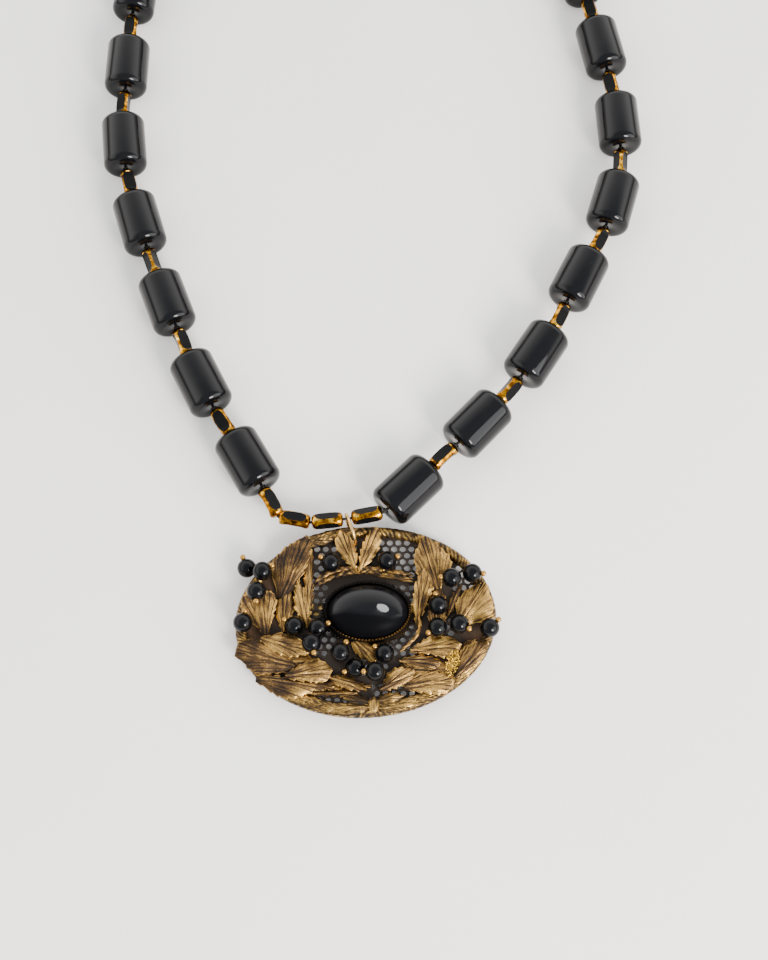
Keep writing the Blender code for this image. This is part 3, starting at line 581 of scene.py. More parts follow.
# %% Antiqued brass
def antiqued_brass(name, hollow, middle, ridge, lines=0.6, smooth=0.26, dull=0.60, bare_metal=0.7):
    """Stamped brass with a dark dip left in its hollows."""
    material, tree = new_finish(name)
    place = add(tree, "TexCoord", out="Object")
    height, grain, far, tone = [add(tree, "Attribute", out="Fac", attribute_name=mark) for mark in MARKS]
    # Die lines are about 0.1 mm apart and a few millimetres long, and they follow the veins.
    across = add(tree, "Math", {0: grain, 1: 6.0}, operation="MULTIPLY")
    down = add(tree, "Math", {0: far, 1: 0.35}, operation="MULTIPLY")
    along_vein = add(tree, "CombineXYZ", {"X": across, "Y": down, "Z": tone})
    streak = add(tree, "TexNoise", {"Vector": along_vein, "Scale": 1.0, "Detail": 4.0, "Roughness": 0.65})
    # Rubbing leaves specks about 0.4 mm wide, and the bath leaves clouds about 4 mm wide.
    speck = add(tree, "TexNoise", {"Vector": place, "Scale": per_mm(0.4), "Detail": 5.0, "Roughness": 0.7})
    cloud = add(tree, "TexNoise", {"Vector": place, "Scale": per_mm(4), "Detail": 3.0})
    total = height
    for part, weight in ((streak, 2.2 * lines), (speck, 0.65), (cloud, 0.55), (tone, 0.30)):
        total = add(tree, "Math", {0: part, 1: weight, 2: total}, operation="MULTIPLY_ADD")
    bare = add(tree, "Math", {0: total, 1: 0.60 + 1.1 * lines}, operation="SUBTRACT")
    rough, metal = [add(tree, "MapRange", {"Value": bare, "From Min": 0.1, "From Max": 0.9,
                                           "To Min": low, "To Max": high})
                    for low, high in ((dull, smooth), (bare_metal, 1.0))]
    relief = add(tree, "Math", {0: streak, 1: 2 * lines, 2: speck}, operation="MULTIPLY_ADD")
    colour = add(tree, "ValToRGB", {"Fac": bare}, [(0.16, hollow), (0.46, middle), (0.86, ridge)])
    bump = add(tree, "Bump", {"Height": relief, "Strength": 0.6, "Distance": 0.09 * MM})
    return dress(material, Metallic=metal, Roughness=rough, Base_Color=colour, Normal=bump)


leaf_brass = antiqued_brass("stamped_brass_antiqued_leaf", "#1A110A", "#5A4226", "#CFA356")
rim_brass = antiqued_brass("stamped_brass_antiqued_rim", "#1A120A", "#574222", "#C29A50", 0.4)
plate_brass = antiqued_brass("pierced_brass_oxidised", "#231910", "#483423", "#7C5C3B", 0.0, 0.50, 0.80, 0.35)
twig_brass = antiqued_brass("cast_brass_twig", "#1A120A", "#5A4323", "#B88B48", 0.0)
setting_brass = antiqued_brass("milled_brass_setting", "#0E0A07", "#2B2015", "#C9A05C", 0.0, 0.35, 0.6)
headpin_brass = antiqued_brass("rubbed_brass_headpin", "#432D12", "#775424", "#AE8442", 0.0, 0.28, 0.5)
filing_brass = antiqued_brass("gilt_brass_filings", "#2A1A08", "#8F6A1E", "#F0C850", 0.0, 0.24, 0.45)
clasp_brass = antiqued_brass("turned_brass_clasp", "#3A2A16", "#9A7842", "#D6B272", 0.0, 0.24, 0.4)
print("brass finishes:", len([m for m in bpy.data.materials if "brass" in m.name]))

# %% [markdown]
# ## Places on the brooch
# The drawing of the brooch was measured in millimetres from the middle of its outline, as the camera
# sees a flat thing 4 mm above the table. A point that stands higher looks further up the picture than
# it is, so a point of the drawing is moved along the line of sight to the height that it has.

# %% Places on the brooch
brooch, stone = middle_of("rim"), middle_of("cabochon")
BROOCH_LENGTH, BROOCH_WIDTH = 66.0 * MM, 49.6 * MM
OUTLINE_TILT = math.radians(4.1)
BROOCH_LIFT, PLATE_THICKNESS, SEAT_HEIGHT = 2.2 * MM, 0.8 * MM, 3.3 * MM
DRAWING_HEIGHT, DRAWING_RISE = 4 * MM, 0.23     # the rise is in millimetres of the drawing


def seen(x, y, z):
    """The place at a height, in millimetres, that the drawing shows at x and y."""
    flat = Vector((brooch.x + x * MM, brooch.y + (y + DRAWING_RISE) * MM, DRAWING_HEIGHT))
    return flat.lerp(EYE, (z * MM - flat.z) / (EYE.z - flat.z))


def on_oval(turn, inset, height):
    """A place on the brooch's outline, moved in by an inset, and the direction along it."""
    a, b = BROOCH_LENGTH / 2 - inset, BROOCH_WIDTH / 2 - inset
    c, s = math.cos(OUTLINE_TILT), math.sin(OUTLINE_TILT)
    x, y = a * math.cos(turn), b * math.sin(turn)
    dx, dy = -a * math.sin(turn), b * math.cos(turn)
    place = Vector((brooch.x + x * c - y * s, brooch.y + x * s + y * c, height))
    return place, Vector((dx * c - dy * s, dx * s + dy * c, 0)).normalized()


print("brooch middle in mm:", [round(c / MM, 2) for c in brooch])

# %% [markdown]
# ## Leaves
# Each leaf was cut from thin sheet and struck in a die. The die leaves side veins that run out from
# the middle vein at a sharp angle, with a rounded ridge between each pair, and the sheet bows up along
# its middle. A fine sheet of points carries all of that as real relief: the outline comes from how far
# the leaf reaches to each side of its vein at five places, and a fold function adds the ridges.

# %% Leaf table
# For each leaf of a node: base and tip on the drawing; reach to the left and to the right at five places;
# height of base and tip; how much the veins fan out from the base; bluntness of the tip; tone.
LEAVES = (
    ("leaves_left_upper", (
        (-21.2, 5.2, -15.0, 21.9, (2.7, 5.0, 5.6, 4.5, 2.2), (1.4, 2.2, 2.6, 2.5, 1.6),
         4.2, 5.6, 0.85, 0.1, -0.65),
        (-14.6, -2.5, -13.9, 18.3, (0.9, 1.4, 1.6, 1.5, 1.2), (0.6, 0.9, 0.9, 0.6, 0.4),
         3.9, 4.9, 0.5, 0.3, 0.25),
        (-14.8, -2.4, -17.4, 9.8, (0.8, 1.6, 2.1, 1.7, 0.9), (1.0, 1.8, 2.0, 1.6, 0.9),
         4.1, 5.0, 0.7, 0.0, 0.35),
        (-20.6, -3.6, -20.3, 8.5, (1.0, 2.0, 2.4, 2.0, 1.0), (1.0, 1.8, 2.3, 2.0, 1.0),
         3.6, 4.0, 0.7, 0.0, -0.05))),
    ("leaf_fan_left", (
        (-25.3, -4.2, -27.0, 7.0, (1.0, 2.8, 4.3, 5.0, 4.9), (1.1, 2.2, 3.2, 3.9, 3.6),
         5.0, 5.2, 1.0, 0.8, 0.0),)),
    ("leaves_left_lower", (
        (-26.3, -5.0, -14.2, -9.1, (1.1, 2.6, 3.1, 3.1, 1.6), (1.2, 2.15, 2.5, 2.2, 1.1),
         5.7, 5.0, 0.6, 0.1, 0.35),
        (-17.6, -12.2, -32.6, -8.6, (2.0, 3.0, 4.1, 3.7, 1.9), (1.5, 2.1, 3.2, 4.2, 3.9),
         5.0, 5.4, 0.4, 0.6, -0.55))),
    ("leaves_foot_left", (
        (-20.0, -14.7, -8.2, -13.3, (1.2, 2.2, 3.2, 3.4, 1.9), (1.0, 1.7, 2.3, 2.7, 2.0),
         5.6, 5.2, 0.6, 0.1, 0.15),
        (-27.3, -15.3, -5.8, -18.0, (1.1, 1.2, 0.5, 0.9, 0.4), (2.2, 4.0, 3.8, 1.4, 0.5),
         5.0, 4.9, 0.6, 0.0, -0.45),
        (-9.0, -15.2, 0.2, -18.3, (0.9, 1.7, 1.9, 1.5, 0.8), (0.9, 1.4, 1.4, 1.1, 0.6),
         4.6, 4.3, 0.6, 0.0, 0.15))),
    ("leaf_centre", (
        (-3.6, -4.6, 2.4, -11.0, (1.1, 2.0, 2.3, 1.9, 1.0), (1.0, 1.9, 2.1, 1.9, 1.1),
         4.0, 4.0, 0.7, 0.0, 0.25),)),
    ("leaves_right_upper", (
        (18.2, 7.6, 14.6, 22.0, (2.2, 3.7, 4.0, 3.4, 1.5), (1.6, 4.7, 5.2, 3.8, 1.9),
         4.4, 5.6, 0.85, 0.1, 0.10),
        (13.2, -1.9, 14.8, 13.2, (1.1, 2.2, 2.0, 1.8, 1.0), (0.5, 1.3, 2.0, 2.9, 1.6),
         4.0, 5.1, 0.7, 0.1, 0.45),
        (17.6, -4.4, 18.4, 9.0, (0.9, 1.9, 2.2, 2.0, 1.1), (1.0, 2.2, 2.6, 2.2, 1.1),
         3.6, 4.1, 0.7, 0.0, -0.2),
        (20.6, 0.5, 24.3, 8.8, (0.5, 0.9, 1.0, 1.0, 0.6), (0.5, 0.9, 1.0, 1.0, 0.6),
         3.7, 4.2, 0.7, 0.0, -0.4))),
    ("leaf_fan_right", (
        (23.4, -1.6, 30.3, 9.3, (1.4, 3.2, 3.6, 3.0, 1.6), (2.2, 4.6, 5.6, 4.6, 2.4),
         4.2, 5.4, 0.9, 0.4, 0.15),)),
    ("leaves_right_lower", (
        (11.2, -8.3, 24.0, -6.6, (1.2, 2.4, 3.0, 2.5, 1.5), (0.6, 1.2, 2.2, 3.0, 2.2),
         4.6, 5.1, 0.6, 0.1, 0.30),
        (8.4, -11.0, 18.9, -11.4, (0.8, 1.4, 1.9, 1.6, 0.8), (0.8, 1.5, 2.0, 2.3, 1.5),
         4.0, 4.6, 0.6, 0.1, -0.15),
        (3.6, -18.3, 12.2, -13.3, (0.9, 2.2, 3.0, 2.6, 1.3), (0.9, 1.5, 1.9, 2.2, 1.7),
         4.5, 4.8, 0.6, 0.1, 0.15),
        (9.6, -17.6, 22.0, -15.9, (1.4, 2.6, 3.0, 2.7, 1.8), (1.0, 1.9, 2.6, 3.1, 2.5),
         5.1, 5.3, 0.6, 0.2, 0.25),
        (8.0, -13.2, 21.0, -12.6, (1.5, 2.6, 3.0, 2.6, 1.5), (1.5, 2.6, 3.0, 2.6, 1.5),
         3.6, 3.9, 0.6, 0.0, -0.25),
        (20.5, -17.0, 27.5, -5.4, (1.6, 2.8, 3.0, 2.6, 1.6), (1.0, 2.2, 2.6, 2.2, 1.2),
         3.7, 4.2, 0.6, 0.0, -0.1))),
    ("leaves_left_lower", (
        (-28.0, -12.4, -12.0, -10.6, (1.5, 2.4, 2.6, 2.0, 1.0), (1.5, 2.4, 2.6, 2.0, 1.0),
         3.5, 3.8, 0.6, 0.0, -0.3),)),
    ("leaves_foot_left", (
        (-21.0, -17.6, 1.5, -17.3, (1.0, 1.5, 1.6, 1.5, 0.9), (1.0, 1.3, 0.9, 0.9, 0.6),
         3.5, 3.7, 0.6, 0.0, -0.3),
        (-2.0, -19.2, -15.0, -19.3, (0.8, 0.8, 0.7, 0.6, 0.4), (0.8, 1.0, 1.0, 0.8, 0.4),
         4.0, 3.9, 0.6, 0.0, -0.25))),
    ("rim", (
        (1.5, -21.4, -5.6, -20.4, (0.8, 1.3, 1.5, 1.2, 0.7), (0.8, 1.3, 1.4, 1.2, 0.7),
         4.3, 4.2, 0.6, 0.0, -0.15),
        (1.2, -22.6, -8.4, -23.1, (0.9, 1.3, 1.3, 1.1, 0.6), (0.9, 1.1, 1.1, 0.9, 0.5),
         4.5, 4.3, 0.6, 0.0, 0.2),
        (2.4, -21.2, 9.6, -19.8, (0.8, 1.4, 1.5, 1.2, 0.6), (0.8, 1.3, 1.4, 1.2, 0.7),
         4.3, 4.2, 0.6, 0.0, 0.0),
        (3.4, -22.9, 13.0, -22.0, (0.9, 1.3, 1.3, 1.1, 0.6), (0.8, 1.0, 1.1, 0.9, 0.5),
         4.5, 4.3, 0.6, 0.0, 0.25),
        (2.2, -19.9, 2.0, -24.0, (0.8, 1.4, 1.6, 1.4, 0.9), (0.8, 1.4, 1.6, 1.4, 0.9),
         4.4, 4.5, 0.9, 0.5, -0.2))),
    ("leaves_right_lower", (
        (22.3, -15.2, 30.8, -6.2, (1.1, 2.5, 3.6, 3.3, 1.8), (0.6, 1.1, 1.4, 1.4, 0.9),
         5.0, 5.2, 0.6, 0.1, -0.10),)),
    ("leaf_pair_top", (
        (-2.2, 11.8, -6.9, 23.4, (0.4, 1.5, 2.2, 2.4, 1.5), (0.4, 1.4, 2.1, 2.1, 1.4),
         4.9, 5.5, 0.8, 0.1, 0.55),
        (-2.0, 11.8, 2.9, 24.3, (0.3, 1.2, 1.8, 1.8, 1.2), (0.4, 1.7, 2.4, 2.4, 1.4),
         4.9, 5.5, 0.8, 0.1, 0.50))),
)
LEAF_PLACES = (0.0, 0.12, 0.3, 0.5, 0.7, 0.88, 1.0)
VEIN_PITCH = 0.62 * MM          # from one side vein to the next, across the leaf
VEIN_RUN = 2.6 * MM             # the same, along the middle vein
RIDGE = 0.08 * MM               # how far the sheet swells between two veins
GROOVE = 0.16 * MM              # depth of the line that the die leaves at a vein
RIB, GUTTER = 0.14 * MM, 0.10 * MM              # the middle vein, and the hollow beside it
TOOTH, TOOTH_DEPTH = 2.1 * MM, 0.60 * MM        # from tooth to tooth along a leaf's edge, and its depth
CROWN, WAVE = 0.55 * MM, 0.42 * MM              # how far the sheet bows up, and how far it waves
DROOP, LIP = 0.40 * MM, 0.16 * MM               # how far the edge bends down, and its raised lip
SHEET = 0.45 * MM
GRID = 0.15 * MM                # from point to point across a leaf; twice that along it
leaves = [(node, row) for node, rows in LEAVES for row in rows]
print("leaves in the table:", len(leaves))

# %% [markdown]
# The fold function works out how far out and how far along each point is. Side veins are lines of
# equal phase in those two lengths. In a leaf that fans out, the phase follows the angle at the base
# instead. At each whole number of the phase the die leaves a narrow groove, deep in every third vein
# and shallower in the others, and the sheet swells a little between two grooves.

# %% Leaf sheets
def bell(away, width):
    """One in the middle of something and nearly nothing two widths away from it."""
    return math.exp(-(away / width) ** 2)


def vein_phase(out, along, length, fan):
    """Counts side veins: it grows by one from each vein to the next."""
    straight = out / VEIN_PITCH - along / VEIN_RUN
    spread = math.atan2(out, along + 0.12 * length) * (0.45 * length) / VEIN_PITCH
    return straight * (1 - fan) + spread * fan


def stamp_leaf(row, number):
    """Points, faces and marks of one leaf."""
    x, y, tip_x, tip_y, left, right, low, high, fan_out, blunt, tone = row
    start, end = seen(x, y, low), seen(tip_x, tip_y, high)
    span = Vector((end.x - start.x, end.y - start.y, 0))
    length, along = span.length, span.normalized()
    side = Vector((-along.y, along.x, 0))
    widest = max(*left, *right) * MM
    rows, columns = max(14, int(length / (2 * GRID))), max(13, int(2 * widest / GRID))
    u = np.linspace(0, 1, rows)
    reach = [curve_through(LEAF_PLACES, [0.45 * part[0], *part, max(blunt, 0.04) * part[-1]], u) * MM
             for part in (left, right)]
    points, marks = [], []
    for r in range(rows):
        ramp = min(1.0, 8 * u[r], 8 * (1 - u[r]))       # no teeth at the base and the tip
        for c in range(columns):
            v = 1 - 2 * c / (columns - 1)
            hand = 1 if v > 0 else -1
            edge = reach[0 if v > 0 else 1][r]
            out, far, rim = abs(v) * edge, u[r] * length, 1 - abs(v)
            spot = Vector((out / MM * hand, far / MM, 7.3 * number))
            phase = (vein_phase(out, far, length, fan_out) + 0.35 * noise.noise(spot * 0.22)
                     + (0.37 if v < 0 else 0))
            vein = round(phase)
            near = phase - vein
            depth = 0.6 * noise.noise(Vector((vein * 3.7 * hand, far / MM * 0.10, number)))
            depth += 0.85 if vein % 3 == 0 else 0.45
            groove = min(max(depth, 0.06), 1.0) * bell(near, 0.17)
            between = 1 - 4 * near * near
            rib = bell(out, 0.24 * MM) * (1 - u[r])
            gutter = bell(out - 0.5 * MM, 0.22 * MM) * (1 - 0.6 * u[r])
            notch = far / TOOTH + 0.8 * noise.noise(Vector((far / MM * 0.3, 5 * hand, number)))
            tooth = TOOTH_DEPTH * (notch % 1 - 0.5) * ramp * abs(v) ** 5
            wave = noise.noise(spot * 0.19) + 0.4 * noise.noise(spot * 0.5)
            swell = min(edge / widest, 1.0)
            height = (start.z + (end.z - start.z) * u[r] + CROWN * swell * (1 - v * v) + RIDGE * between
                      - GROOVE * groove + RIB * rib - GUTTER * gutter + WAVE * wave * swell
                      - DROOP * abs(v) ** 4 + LIP * bell(rim, 0.06))
            flat = along * far + side * (v * edge + hand * tooth)
            points.append(Vector((start.x + flat.x, start.y + flat.y, height)))
            # Here only wear: the leaf's edge and tip are rubbed brighter.
            wear_and_painted_highlight = 0.35 * bell(rim, 0.07) + (0.2 if r > rows - 3 else 0.0)
            foot = 0.22 * max(0.0, 1 - u[r] / 0.25)
            marks.append((0.52 + 0.12 * between - 0.56 * groove - 0.25 * gutter + 0.15 * rib + 0.28 * wave
                          + wear_and_painted_highlight - foot, phase, far / MM, tone))
    return points, skin(rows, columns, round_columns=False), marks


for node in dict.fromkeys(node for node, _ in leaves):
    parts = [stamp_leaf(row, k) for k, (owner, row) in enumerate(leaves) if owner == node]
    points, faces, marks = merge(parts)
    piece = make_piece("stamped_" + node, points, faces, [rim_brass if node == "rim" else leaf_brass], node,
                       marks=marks, sharp=60, sheet=SHEET)
    print(node, "points:", len(points), "facing up:",
          sum(face.normal.z > 0 for face in piece.data.polygons) > len(faces) / 2)

# %% [markdown]
# ## Twigs
# Two notched twigs and a thin plain one arch over the stone, and a plain stem runs down on the right.
# The notched ones were cast from a model that was wound like a rope, so their section is a circle whose
# bump travels round as it goes along.

# %% Twigs
# For each twig: width in millimetres, whether it is wound, and its route on the drawing.
ARCH = (
    (1.35, True, ((-13.2, 9.2), (-10.4, 11.4), (-6.0, 12.9), (-1.0, 13.2), (5.0, 12.6), (11.9, 11.3))),
    (1.2, True, ((-13.0, 8.2), (-9.4, 10.4), (-4.8, 11.9), (0.0, 12.3), (5.0, 11.6), (12.0, 10.2))),
    (0.8, False, ((2.0, 11.4), (6.0, 10.8), (9.0, 10.2), (12.0, 9.5))),
)
STEM = (0.9, False, ((13.4, 1.4), (13.5, -2.4), (12.4, -5.0), (8.7, -8.6)))
TWIG_SIDES = 16
STRAND_RUN = 1.9 * MM           # from strand to strand along a wound twig


def make_twig(row, number, height, tone):
    """Points, faces and marks of one twig."""
    width, wound, route = row
    curve = catmull([seen(x, y, height) for x, y in route], 26)
    marks = []

    def radius(k, point, along, side):
        """The radius at a point, thin at both ends, and the marks there."""
        thin = min(1.0, 0.35 + 6 * min(k, len(curve) - 1 - k) / len(curve))
        turn = 2 * math.pi * side / TWIG_SIDES - math.pi * along / STRAND_RUN + number
        strand = abs(math.cos(turn)) if wound else 0.8
        rough = noise.noise(point / MM * 1.2 + Vector((side, number, 0)) * 0.4)
        marks.append((0.20 + 0.30 * strand + 0.6 * rough, 0.0, 0.0, tone))
        return width / 2 * MM * thin * (0.90 + 0.12 * strand + 0.35 * rough)

    return *tube(curve, TWIG_SIDES, radius), marks


points, faces, marks = merge([make_twig(row, k, 4.0, 0.0) for k, row in enumerate(ARCH)])
make_piece("rope_twigs", points, faces, [twig_brass], "twig_arch", marks=marks)
points, faces, marks = make_twig(STEM, 5, 4.7, 0.8)
make_piece("stem_right", points, faces, [twig_brass], "leaves_right_upper", marks=marks)
print("twigs:", len(ARCH) + 1)

# %% [markdown]
# ## Pierced plate
# The plate behind the leaves was punched with staggered rows of round holes before it was cut to an
# oval. The holes are cut through with one Boolean, so the table shows behind them. They are cut only in
# open places between the leaves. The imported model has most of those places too, and two of them smaller.

# %% Pierced plate
HOLE_DIAMETER, HOLE_PITCH, HOLE_ROW = 1.6 * MM, 2.2 * MM, 1.71 * MM
HOLE_START = Vector((1.72, 20.6)) * MM
PLATE_SHEET = 0.6 * MM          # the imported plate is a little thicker
PLATE_INSET, EDGE_CLEAR, SLOT_CLEAR = 1.2 * MM, 3.0 * MM, 2.6 * MM
SLOT_HALF_WIDTH, SLOT_HALF_LENGTH = 0.9 * MM, 1.3 * MM
PLATE_SIDES, HOLE_SIDES, SLOT_SIDES = 128, 18, 24
STONE_LENGTH, STONE_WIDTH, STONE_HEIGHT, STONE_GIRDLE = 20.2 * MM, 14.0 * MM, 5.6 * MM, 1.4 * MM
# Open places of the plate in millimetres: x and y of the middle, half width, half height.
WINDOWS = (
    (8.3, 16.4, 4.7, 4.9), (-10.6, 15.6, 2.6, 5.0), (-12.2, 5.4, 2.6, 7.0),
    (9.9, 7.4, 2.8, 2.6), (25.0, 11.8, 3.2, 4.2), (-18.0, 0.2, 2.2, 1.2),
    (-9.6, -6.0, 3.0, 4.0), (9.0, -5.6, 4.0, 4.0), (-9.5, -20.2, 5.4, 2.4),
    (7.0, -19.0, 5.4, 2.0), (1.0, -12.0, 4.5, 3.0), (21.0, -2.0, 1.4, 3.2),
)


def hole_places(slot):
    """Middle and radius of each hole that shows, clear of the edge, the stone and the ring's slot."""
    c, s = math.cos(OUTLINE_TILT), math.sin(OUTLINE_TILT)
    for row in range(30):
        for column_number in range(-30, 30):
            x = HOLE_START.x + (column_number + 0.5 * (row % 2)) * HOLE_PITCH
            y = HOLE_START.y - row * HOLE_ROW
            place = Vector((brooch.x + x, brooch.y + y))
            shown = any(abs(x / MM - wx) < w and abs(y / MM - wy) < h for wx, wy, w, h in WINDOWS)
            off_edge = math.hypot((x * c + y * s) / (BROOCH_LENGTH / 2 - EDGE_CLEAR),
                                  (y * c - x * s) / (BROOCH_WIDTH / 2 - EDGE_CLEAR)) <= 1
            off_stone = math.hypot((place.x - stone.x) / (STONE_LENGTH + HOLE_DIAMETER),
                                   (place.y - stone.y) / (STONE_WIDTH + HOLE_DIAMETER)) >= 0.5
            if shown and off_edge and off_stone and (place - slot).length >= SLOT_CLEAR:
                # Beside the stone the bath and the solder have narrowed the holes.
                narrowed = abs(x) < 17 * MM and y < 10 * MM
                yield place, HOLE_DIAMETER / 2 * (0.92 if narrowed else 1.0)


def make_plate():
    """The oval plate with its field of holes and the slot for the jump ring."""
    high = BROOCH_LIFT + PLATE_THICKNESS
    low = high - PLATE_SHEET
    ring_low, ring_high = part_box("jump_ring")
    slot = Vector((ring_high.x - MM, ring_low.y + MM))
    points = [on_oval(2 * math.pi * k / PLATE_SIDES, PLATE_INSET, z)[0]
              for z in (low, high) for k in range(PLATE_SIDES)]
    plate = make_piece("pierced_plate", points, column_faces(PLATE_SIDES), [plate_brass], "back_plate",
                       marks=even_marks(points, 0.5), sharp=30)
    span = (low - MM, high + MM)
    cuts = [column(place, radius, radius, *span, HOLE_SIDES) for place, radius in hole_places(slot)]
    cuts.append(column(slot, SLOT_HALF_WIDTH, SLOT_HALF_LENGTH, *span, SLOT_SIDES))
    points, faces = merge(cuts)
    mesh = bpy.data.meshes.new("punch")
    mesh.from_pydata([tuple(p) for p in points], [], faces)
    punch = bpy.data.objects.new("punch", mesh)
    bpy.context.scene.collection.objects.link(punch)
    hole = plate.modifiers.new("Holes", "BOOLEAN")
    hole.operation, hole.object, hole.solver = "DIFFERENCE", punch, "EXACT"
    made = bpy.data.meshes.new_from_object(plate.evaluated_get(bpy.context.evaluated_depsgraph_get()))
    plate.modifiers.clear()
    plate.data = made
    bpy.data.objects.remove(punch, do_unlink=True)
    made.set_sharp_from_angle(angle=math.radians(30))
    return plate, len(cuts) - 1


plate, holes = make_plate()
print("holes punched:", holes, "faces:", len(plate.data.polygons))

# %% [markdown]
# ## Rim
# The rim is a half-round band, rolled with slanting strands like a rope, and it carries long narrow
# leaves at the foot and at the upper left. The band is swept round the oval with the strands as real
# ridges, and the leaves are laid on it one over the other, so each covers the foot of the next.

# %% Rim band and wreath
STRAND = 1.25                   # from strand to strand along the rim, in millimetres
RIM_STATIONS, RIM_STEPS = 900, 14
BLADE_LENGTH, BLADE_WIDTH, BLADE_HEIGHT = 9.5 * MM, 2.3 * MM, 3.75 * MM
BLADE_STEP = 7.4                # degrees of the oval from one blade to the next
BLADE_PITCH, BLADE_RUN = 0.55 * MM, 1.5 * MM    # from vein to vein, across a blade and along its middle
# Runs of blades: degrees where it starts, which way it goes, and how many blades are in each row.
WREATH = ((-92, 1, 7), (-88, -1, 7), (137, -1, 4))
# Rows in a run: insets of a blade's base and tip in millimetres, and its shift in blades.
WREATH_ROWS = ((2.7, 1.4, 0.0), (1.9, 0.5, 0.5))


def rim_band():
    """The half-round band with its slanting strands, which climb both sides from the foot."""
    round_length = math.pi * (BROOCH_LENGTH + BROOCH_WIDTH) / 2 / MM
    rise = [math.sin(math.pi * j / RIM_STEPS) for j in range(RIM_STEPS + 1)]
    profile = [(0.0, 2.2, 0.0), (-0.02, 2.8, 0.0)]
    profile += [(0.05 + 2.8 * j / RIM_STEPS, 3.1 + 1.05 * up ** 0.6, up ** 0.5) for j, up in enumerate(rise)]
    profile += [(0.9, 3.0, 0.0), (0.9, 2.2, 0.0)]
    points, marks = [], []
    for k in range(RIM_STATIONS):
        turn = 2 * math.pi * k / RIM_STATIONS
        length = round_length * k / RIM_STATIONS
        hand = 1 if math.cos(turn) > 0 else -1
        for inset, z, top in profile:
            place, ahead = on_oval(turn, inset * MM, z * MM)
            rough, drift = noise.noise(place / MM * 0.9), noise.noise(place / MM * 0.35)
            phase = length / STRAND + hand * inset / 1.3 + 1.1 * drift
            strand = abs(math.sin(math.pi * phase))
            lift = (0.30 * strand + 0.22 * rough + 0.25 * drift) * top * MM
            points.append(place + Vector((0, 0, lift)) + Vector((ahead.y, -ahead.x, 0)) * 0.1 * MM * rough)
            marks.append((0.18 + 0.45 * strand + 0.35 * rough, phase * 2, length, -0.1))
    return points, skin(RIM_STATIONS, len(profile), round_rows=True), marks


def wreath_blade(turn, way, base, tip, number):
    """A long narrow leaf that lies along the rim and moves from one inset to another."""
    rows, columns = 30, 13
    step = way * BLADE_LENGTH / ((BROOCH_LENGTH + BROOCH_WIDTH) / 4)
    tone = 0.8 * noise.noise(Vector((number * 1.7, 3.1, 0.4))) + (0.35 if math.sin(turn) < -0.6 else 0.0)
    points, marks = [], []
    for r in range(rows):
        u = r / (rows - 1)
        hub, ahead = on_oval(turn + step * u, (base + (tip - base) * u) * MM, BLADE_HEIGHT)
        across = Vector((-ahead.y, ahead.x, 0)) * way
        swell = max(math.sin(math.pi * min(u ** 0.8, 1.0)) ** 0.55, 0.10)
        for c in range(columns):
            v = 1 - 2 * c / (columns - 1)
            out, far = v * BLADE_WIDTH / 2 * swell, u * BLADE_LENGTH
            drift = noise.noise(Vector((u * 5, v * 2, number)))
            phase = abs(out) / BLADE_PITCH - far / BLADE_RUN + 0.5 * drift
            near = phase - round(phase)
            groove = bell(near, 0.20)
            rough = noise.noise(Vector((far / MM * 0.9, v * 2.5, 3.3 * number)))
            lobe = 1 + abs(v) ** 4 * (0.10 * (1 - 4 * near * near) - 0.04 + 0.12 * rough)
            z = (0.62 * (1 - v * v) * swell + 0.55 * math.sin(math.pi * 0.6 * u) - 0.10 * groove
                 - 0.20 * bell(out, 0.18 * MM) + 0.18 * rough) * MM
            points.append(Vector((hub.x, hub.y, BLADE_HEIGHT + z)) + across * out * lobe)
            marks.append((0.56 - 0.45 * groove + 0.3 * rough - 0.35 * abs(v) ** 3
                          - 0.3 * max(0.0, 1 - u / 0.35), phase, far / MM, tone))
    return points, skin(rows, columns, round_columns=False), marks


points, faces, marks = rim_band()
make_piece("rim_band", points, faces, [rim_brass], "rim", marks=marks)
blades = [(math.radians(start + way * BLADE_STEP * (k + shift)), way, base, tip)
          for start, way, count in WREATH for base, tip, shift in WREATH_ROWS for k in range(count)]
points, faces, marks = merge([wreath_blade(*blade, number) for number, blade in enumerate(blades)])
make_piece("rim_wreath", points, faces, [rim_brass], "rim", marks=marks, sharp=60, sheet=0.35 * MM)
print("wreath points:", len(points))

# %% [markdown]
# ## Setting and stone
# The stone sits in a collar of thin brass strip. Its top edge was cut into small teeth, and the teeth
# were pressed over the stone to hold it. A row of grains was soldered round its foot. Collar and grains
# carry a painted highlight, brightest at the front right where the panel in front on the right lights
# them, and they are painted dark round the back and the left. The stone is a cabochon: an upright girdle
# with a low dome, all polished.

# %% Setting
TEETH, GRAINS, GRAIN_RADIUS = 76, 66, 0.40 * MM


def stone_oval(turn, out, height):
    """A place round the stone's edge, moved outwards, with both measures in millimetres."""
    return Vector((stone.x + (STONE_LENGTH / 2 + out * MM) * math.cos(turn),
                   stone.y + (STONE_WIDTH / 2 + out * MM) * math.sin(turn), SEAT_HEIGHT + height * MM))


def wear_and_painted_highlight(turn):
    """The painted highlight at a place round the stone: most at the front right, where the front panel lights
    it, and none round the back and left.
    """
    return max(0.0, math.cos(turn + math.radians(65)))


